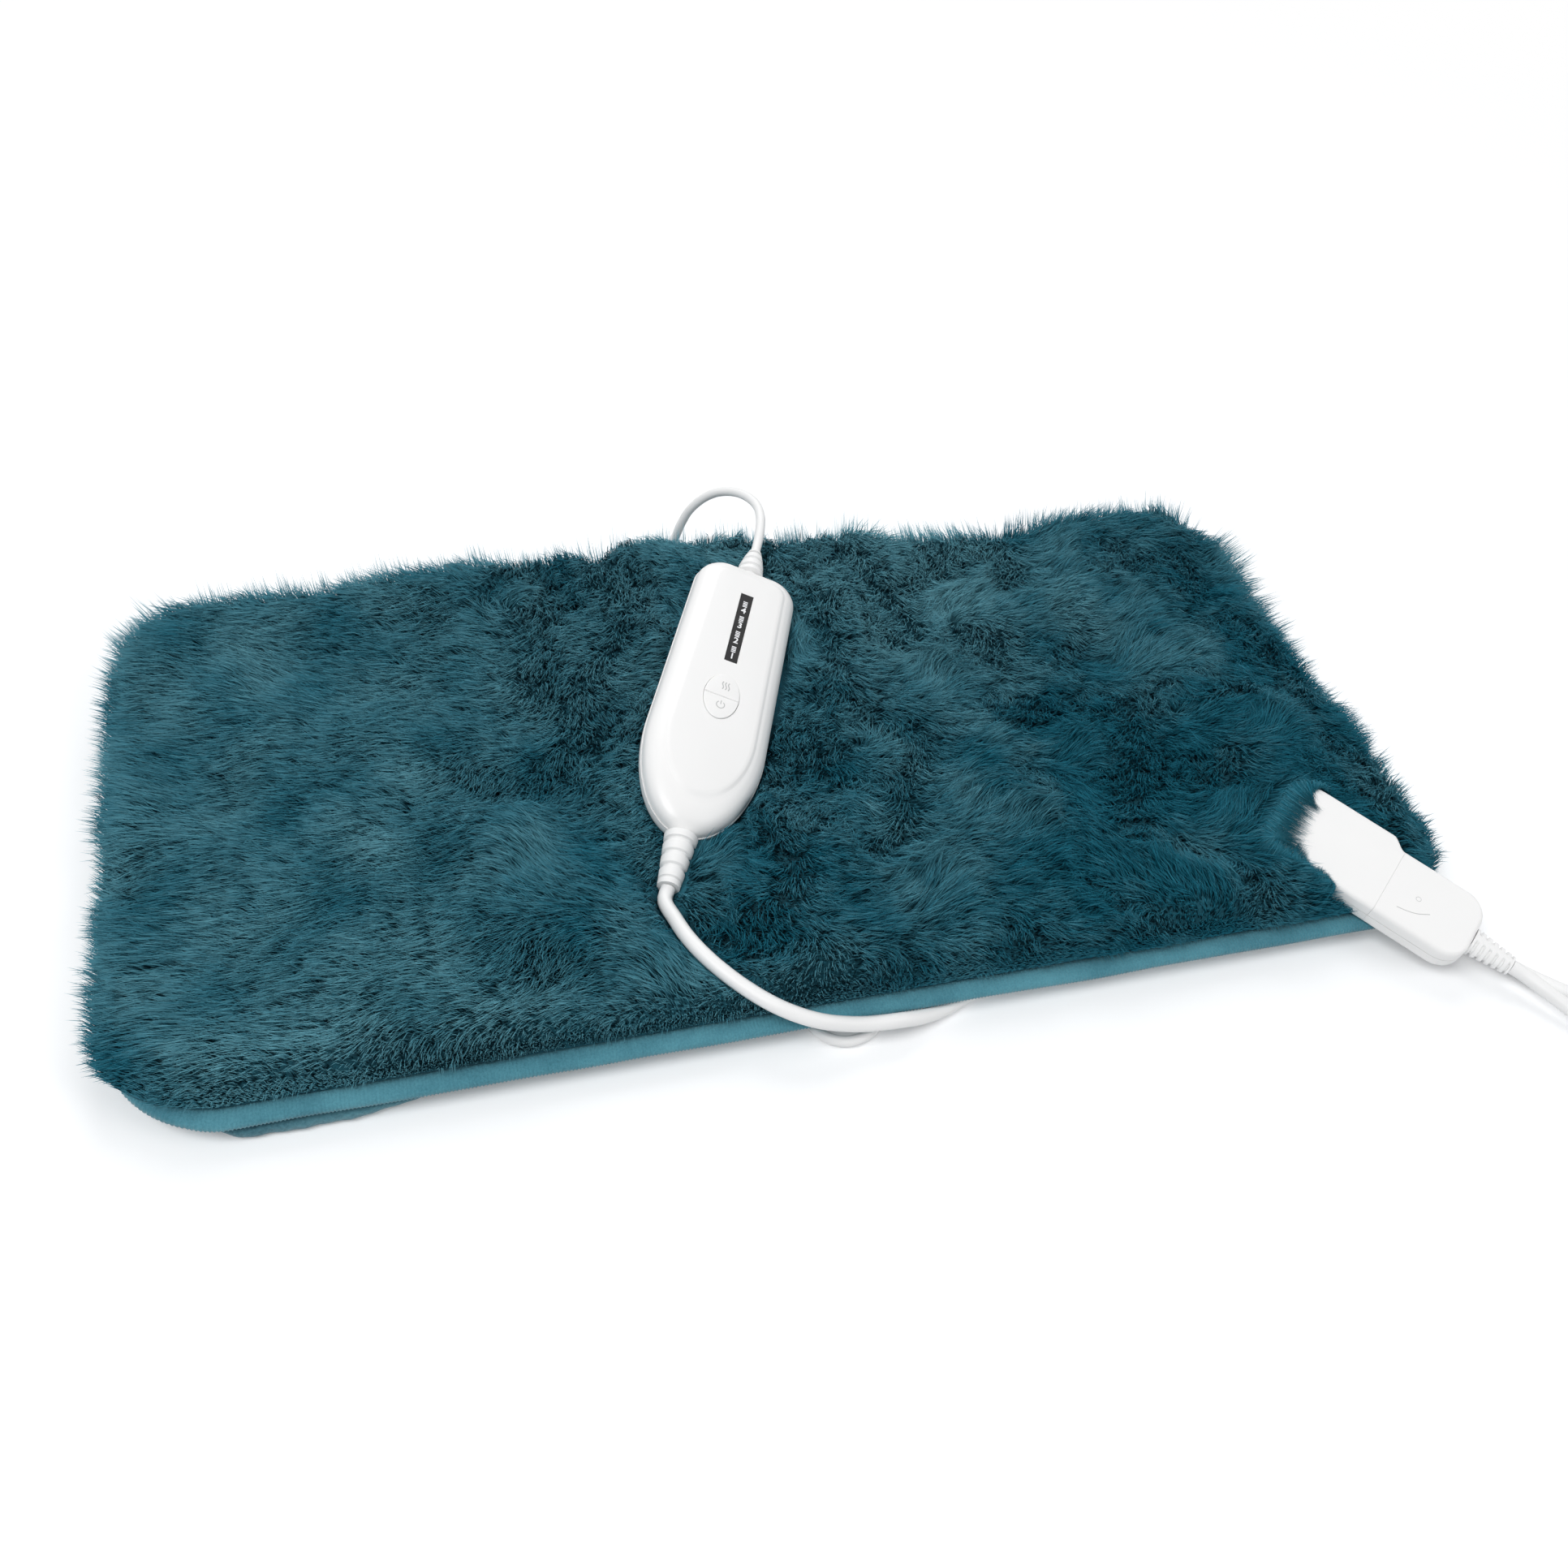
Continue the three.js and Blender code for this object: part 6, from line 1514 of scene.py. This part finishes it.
def make_digit(name, text, y, z):
    """A numeral as a thin solid letter, its height along the controller, made a mesh and then placed."""
    curve = bpy.data.curves.new(name, "FONT")
    curve.body = text
    curve.size = DIGIT_HEIGHT / DIGIT_SHARE
    curve.align_x = "CENTER"
    curve.extrude = INK / 2
    curve.offset = DIGIT_WEIGHT
    mesh = solid_mesh(name, curve)
    points = np.zeros(len(mesh.vertices) * 3)
    mesh.vertices.foreach_get("co", points)
    points = points.reshape(-1, 3) + (0, y - DIGIT_HEIGHT / 2, z + INK / 2)
    mesh.vertices.foreach_set("co", (placed(CONTROLLER, points) * MM).astype(np.float32).ravel())
    mesh.update()
    return add_object(name, mesh)


def print_sign(name, line, width, body):
    """A printed stroke on a button."""
    z = CTL_FACE + BUTTON_PROUD + 0.01
    wear(ribbon(name, line, width, z, z + INK, CONTROLLER), body, PRINT)


def make_marks():
    """Level numbers with bars in the window, and the heat and power signs on the buttons."""
    z = CTL_FACE + 0.04
    for k, text in enumerate("4321"):
        y = DIGIT_TOP - k * MARK_PITCH
        wear(make_digit(f"level_number_{text}", text, y, z), "root", LAMP)
        for bar in range(4):
            middle = y + BARS_ABOVE + (bar - 1.5) * BAR_PITCH
            shape = rectangle(-BAR_WIDTH / 2, BAR_WIDTH / 2, middle - BAR_THICK / 2, middle + BAR_THICK / 2)
            piece = prism(f"level_bar_{text}_{bar + 1}", shape, z, z + INK, CONTROLLER)
            wear(piece, "root", LAMP)
    share = np.linspace(0, 1, 24)
    for k in (-1, 0, 1):
        swing = SIGN_AT + k * HEAT_SIGN_PITCH + HEAT_SIGN_SWING * np.sin(2 * np.pi * share)
        line = np.stack([swing, BUTTONS_AT + HEAT_SIGN_FROM + HEAT_SIGN_LENGTH * share], axis=1)
        print_sign(f"heat_sign_{k + 2}", line, 0.55, "heat_key")
    x, y = SIGN_AT / 2, BUTTONS_AT - POWER_SIGN_BELOW
    ring = arc(x, y, POWER_SIGN_RADIUS, np.radians(np.linspace(125, 415, 40)))
    print_sign("power_sign_ring", ring, 0.45, "power_key")
    print_sign("power_sign_bar", np.array([(x, y + 0.4), (x, y + 2.6)]), 0.45, "power_key")


# The connector
MATE_GAP = 0.04
STEP_LENGTH = 8


def end_ring(near, far, mate, y1, near_radius, far_radius, draw, wall, z):
    """From the mating end, which is at y = 0 and carries the wall, to an end at y1 with two round corners,
    all drawn in; the far side runs in an S from the mating width to its own."""
    way = math.copysign(1, y1)
    start = way * (MATE_GAP + wall)
    turn = np.linspace(0, np.pi / 2, 16)

    def corner(radius, side, edge, angles):
        r = max(radius - draw, PLUG_WALL / 2)
        cx, cy = edge - side * (draw + r), y1 - way * (draw + r)
        return np.stack([cx + side * r * np.cos(angles), cy + way * r * np.sin(angles)], axis=1)

    share = np.linspace(1, 0, 12)
    far_side = mate + (far - mate) * smooth_step(share) + draw
    run = np.stack([far_side, start + way * STEP_LENGTH * share], axis=1)
    near_corner = corner(near_radius, 1, near, turn)
    far_corner = corner(far_radius, -1, far, turn[::-1])
    return at_level(np.concatenate([[(near - draw, start)], near_corner, far_corner, run]), z)


def plug_ring(draw, wall, z):
    """The plug's outline."""
    half = PLUG_WIDTH / 2
    return end_ring(half, -half, -half, PLUG_LENGTH, PLUG_CORNER, PLUG_CORNER, draw, wall, z)


def socket_ring(draw, wall, z):
    """The socket's outline, a step wider on its far side."""
    half = PLUG_WIDTH / 2
    far = -half - SOCKET_STEP
    return end_ring(half, far, -half, -SOCKET_LENGTH, PLUG_CORNER / 3, SOCKET_CORNER, draw, wall, z)


EDGE_ROUND = 2.6
EDGE_SQUASH = 0.9
INNER_DROP = 0.8
INNER_DRAW = 1.2


def half_shell(name, ring, top):
    """A half shell: rings from the flat face round its edge to the parting line, then back inside."""
    side = 1 if top else -1
    face = 0 if top else -PLUG_THICK
    rim = PLUG_MID + side * SEAM
    rings = []
    for a in np.linspace(0, math.pi / 2, 8):
        z = face - side * EDGE_ROUND * EDGE_SQUASH * (1 - math.cos(a))
        rings.append(ring(EDGE_ROUND * (1 - math.sin(a)), 0, z))
    rings += [ring(0, 0, rim), ring(PLUG_WALL, PLUG_WALL, rim)]
    rings.append(ring(PLUG_WALL, PLUG_WALL, face - side * (PLUG_WALL + INNER_DROP)))
    rings.append(ring(PLUG_WALL + INNER_DRAW, PLUG_WALL + INNER_DRAW, face - side * PLUG_WALL))
    return loft(name, in_frame(CONNECTOR, rings))


def mouth(extra, y0, y1):
    """The opening between plug and socket for the plug's tongue, as a box."""
    half = INSERT_WIDTH / 2 + extra
    thick = INSERT_THICK / 2 + extra
    rings = [[(x, y, PLUG_MID + z) for x, z in rectangle(-half, half, -thick, thick)] for y in (y0, y1)]
    return loft("tool", in_frame(CONNECTOR, rings), smooth=False)


MOUTH_REACH = 4


def make_connector():
    """Plug and socket shells, the slotted oval relief, and the grip marks on the plug."""
    for word, top in (("top", True), ("bottom", False)):
        plug = half_shell(f"plug_cap_{word}", plug_ring, top)
        boolean(plug, mouth(GAP, -PLUG_WALL - MOUTH_REACH, PLUG_WALL + 2 * GAP))
        wear(plug, "pad_plug", WHITE, [f"plug_{word}"], angle=32)
        socket = half_shell(f"socket_cap_{word}", socket_ring, top)
        boolean(socket, mouth(2 * GAP, -PLUG_WALL - MOUTH_REACH, MOUTH_REACH))
        wear(socket, "root", WHITE, [f"socket_{word}"], angle=32)
    wear(plug_sleeve(), "pad_plug", WHITE_RUBBER, ["plug_relief"], angle=50)
    line = curve_points([(11.6, 8.3, 0), (10.6, 12.9, 0), (8.9, 17.4, 0), (5.2, 22.6, 0)], 0.5)[:, :2]
    wear(ribbon("grip_arc", line, 0.35, -0.1, 0.04, CONNECTOR), "pad_plug", PRINT)
    ring = ribbon("grip_ring", arc(1, 15.1, 1.2, around(40)), 0.22, -0.1, 0.03, CONNECTOR, True)
    wear(ring, "pad_plug", PRINT)


SLOT_DEPTH = 1.3
SLOT_ROWS = 6
SLEEVE_SIDES = 64


def plug_sleeve():
    """The oval relief: flange, neck and a taper whose rows of slots are drawn in on two sides."""
    start = PLUG_LENGTH + GAP
    wall_in = PLUG_LENGTH - PLUG_WALL - 2 * SOFT
    neck = 2 * PLUG_RELIEF_NECK
    at = np.linspace(0, 1, 90)
    wide, thick = (base + (tip - base) * at for base, tip in zip(PLUG_RELIEF_BASE, PLUG_RELIEF_TIP))
    wide = np.concatenate([[PLUG_RELIEF_FLANGE, PLUG_RELIEF_FLANGE, neck, neck], wide])[:, None]
    thick = np.concatenate([[neck + GAP, neck + GAP, neck, neck], thick])[:, None]
    head_y = [wall_in - RELIEF_FLANGE_THICK, wall_in, wall_in, start]
    y = np.concatenate([head_y, start + PLUG_RELIEF_LENGTH * at])
    cos, sin = np.cos(around(SLEEVE_SIDES)), np.sin(around(SLEEVE_SIDES))
    rows = np.append(np.zeros(4), grooves(at, SLOT_ROWS, 0.02, 0.1, 0.5, 0.06, 0.95))[:, None]
    slots = SLOT_DEPTH * rows * smooth_step((np.abs(cos) - 0.25) / 0.12)
    rings = sections((wide / 2 - slots) * cos, y[:, None], PLUG_MID + (thick / 2 - slots) * sin)
    return loft("plug_sleeve", in_frame(CONNECTOR, rings))


# The mains plug and the tie: the plug's rows are a share of its length, and shares of its width and thickness
MAINS_PLUG_SHARES = [
    (0, 0.88, 0.8), (0.012, 0.93, 0.88), (0.03, 0.98, 0.96), (0.06, 1, 1), (0.28, 1, 1), (0.42, 0.95, 1),
    (0.556, 0.858, 0.99), (0.7, 0.71, 0.97), (0.833, 0.567, 0.927), (0.93, 0.49, 0.87), (1, 0.453, 0.825),
]
MAINS_RELIEF_BASE = 5.45
MAINS_RELIEF_TIP = 3.5
MAINS_GROOVE = 0.7
MAINS_GROOVES = 5


def make_mains_plug():
    """A flat two-pin plug: superellipse sections along its axis, two round pins and a tapered relief."""
    cos, sin = np.cos(around(SLEEVE_SIDES)), np.sin(around(SLEEVE_SIDES))
    places, widths, heights = np.array(MAINS_PLUG_SHARES).T
    at = np.linspace(0, 1, 40)[:, None]
    y = signed_power(cos, 0.55) * (np.interp(at, places, widths) * MAINS_PLUG_WIDTH / 2)
    z = signed_power(sin, 0.55) * (np.interp(at, places, heights) * MAINS_PLUG_THICK / 2)
    rings = sections(MAINS_PLUG_END + MAINS_PLUG_LENGTH * at, MAINS_PLUG_Y + y, MAINS_PLUG_Z + z)
    wear(loft("mains_plug_body", rings), "root", CORD, ["mains_plug"], angle=40)
    start, end = MAINS_PLUG_END - MAINS_PIN_LENGTH, MAINS_PLUG_END - GAP
    profile = [(start, 0.9), (start + 0.5, 1.5), (start + 1.4, MAINS_PIN_RADIUS), (end, MAINS_PIN_RADIUS)]
    x, r = np.array(profile).T[:, :, None]
    for k, side in enumerate((-1, 1)):
        middle = MAINS_PLUG_Y + side * MAINS_PIN_SPACING / 2
        pin = loft(f"mains_pin_{k + 1}", sections(x, middle + r * cos[::2], MAINS_PLUG_Z + r * sin[::2]))
        wear(pin, "root", TIN, [f"mains_plug_pin_{k + 1}"], angle=40)
    at = np.linspace(0, 1, 80)[:, None]
    groove = MAINS_GROOVE * grooves(at, MAINS_GROOVES, 0, 0.1, 0.5, 0, 0.93)
    r = MAINS_RELIEF_BASE + (MAINS_RELIEF_TIP - MAINS_RELIEF_BASE) * at - groove
    x = MAINS_PLUG_END + MAINS_PLUG_LENGTH + GAP + MAINS_RELIEF_LENGTH * at
    sleeve = loft("mains_sleeve", sections(x, MAINS_PLUG_Y + r * cos, MAINS_PLUG_Z + r * sin))
    wear(sleeve, "root", CORD, ["mains_plug_relief"], angle=40)


TIE_CORNER = 3
TIE_STEP = 0.8


def make_tie():
    """The wire tie round the hank's waist: a flat band carried round a rounded rectangle."""
    high = MAINS_Z + HANK_RISE + 3 * MAINS_RADIUS + 2 * GAP + TIE_THICK
    low = TABLE_CLEAR + HANK_RISE - TIE_THICK - GAP
    near = HANK_EXIT - HANK_WAIST + MAINS_RADIUS + GAP
    far = HANK_OUTER - HANK_WAIST + MAINS_RADIUS + GAP
    half_y = (near + far) / 2 + TIE_THICK
    half_z = (high - low) / 2
    ring = rounded_outline(half_y, half_z, TIE_CORNER, TIE_STEP)
    inner = rounded_outline(half_y - TIE_THICK, half_z - TIE_THICK, 1.7, TIE_STEP * 0.9)
    share = np.linspace(0, 1, len(ring), endpoint=False)
    inner_share = np.linspace(0, 1, len(inner) + 1)
    closed = np.concatenate([inner, inner[:1]])
    inner = np.stack([np.interp(share, inner_share, column) for column in closed.T], axis=1)
    middle_y, middle_z = HANK_CENTRE[1] + (far - near) / 2, (high + low) / 2
    half = TIE_WIDTH / 2
    rings = [
        sections(HANK_CENTRE[0] + x, middle_y + line[:, 0], middle_z + line[:, 1])
        for line, x in ((ring, -half), (ring, half), (inner, half), (inner, -half))
    ]
    wear(loft("hank_tie", rings, closed_rings=True), "root", DARK, ["cord_tie"], angle=40)

# The scene: lamps have a place and size in metres and a power in watts
FLOOR_SIZE = 12
FLOOR_LIFT = 0.15
WHITE_LIGHT = (1, 1, 1, 1)
LAMPS = [
    ("key_lamp", (-1.8, -1, 3.2), 2.2, 78),
    ("fill_lamp", (2.6, -1.8, 2.6), 2.4, 34),
    ("back_lamp", (0.4, 3, 3), 2.8, 56),
]


def camera_ray_mix(tree, plain, seen):
    """The seen shader where the camera, a reflection or glass looks at it, and the plain one elsewhere."""
    path = node(tree, "ShaderNodeLightPath").outputs
    looked = calculated(tree, "MAXIMUM", path["Is Camera Ray"], path["Is Glossy Ray"])
    looked = calculated(tree, "MAXIMUM", looked, path["Is Transmission Ray"])
    return node(tree, "ShaderNodeMixShader", {0: looked, 1: plain, 2: seen}).outputs[0]


def make_stage():
    """A pale floor that keeps the shadow, a white world and three large soft lamps."""
    scene = bpy.context.scene
    scene.view_settings.view_transform = "Standard"
    half = FLOOR_SIZE / 2 / MM
    corners = [(x, y, 0) for x, y in rectangle(-half, half, -half, half)]
    floor = add_mesh("floor", corners, np.array([[0, 1, 2, 3]]))
    shader = {"Base Color": (0.86, 0.87, 0.88, 1), "Roughness": 0.9, "Specular IOR Level": 0.0}
    made, tree, plain = new_material("floor", shader)
    glow = node(tree, "ShaderNodeEmission", {"Color": WHITE_LIGHT, "Strength": FLOOR_LIFT}).outputs[0]
    lit = node(tree, "ShaderNodeAddShader", {0: plain.outputs[0], 1: glow}).outputs[0]
    coords = node(tree, "ShaderNodeTexCoord").outputs["Object"]
    away = node(tree, "ShaderNodeVectorMath", {0: coords}, operation="LENGTH").outputs["Value"]
    white = node(tree, "ShaderNodeEmission", {"Color": WHITE_LIGHT, "Strength": 1.0}).outputs[0]
    lit = node(tree, "ShaderNodeMixShader", {0: ranged(tree, away, 0.7, 1.5), 1: lit, 2: white}).outputs[0]
    tree.links.new(camera_ray_mix(tree, plain.outputs[0], lit), tree.nodes["Material Output"].inputs["Surface"])
    floor.data.materials.append(made)
    world = bpy.data.worlds.new("world")
    scene.world = world
    world.use_nodes = True
    tree = world.node_tree
    plain = tree.nodes["Background"]
    plain.inputs["Color"].default_value = (0.97, 0.98, 1, 1)
    plain.inputs["Strength"].default_value = 0.36
    seen = node(tree, "ShaderNodeBackground", {"Color": WHITE_LIGHT, "Strength": 1.0}).outputs[0]
    tree.links.new(camera_ray_mix(tree, plain.outputs[0], seen), tree.nodes["World Output"].inputs["Surface"])
    for name, (x, y, z), size, power in LAMPS:
        lamp = bpy.data.lights.new(name, "AREA")
        lamp.shape = "DISK"
        lamp.size = size
        lamp.energy = power
        holder = add_object(name, lamp)
        holder.location = (x, y, z)
        holder.rotation_euler = (math.atan2(math.hypot(x, y), z), 0, math.atan2(x, -y))


add_camera()
lead, lead_end, mains = make_cords()
make_layers()
make_ground()
make_pile()
make_binding()
make_fold()
make_controller()
make_connector()
make_mains_plug()
make_tie()
make_stage()
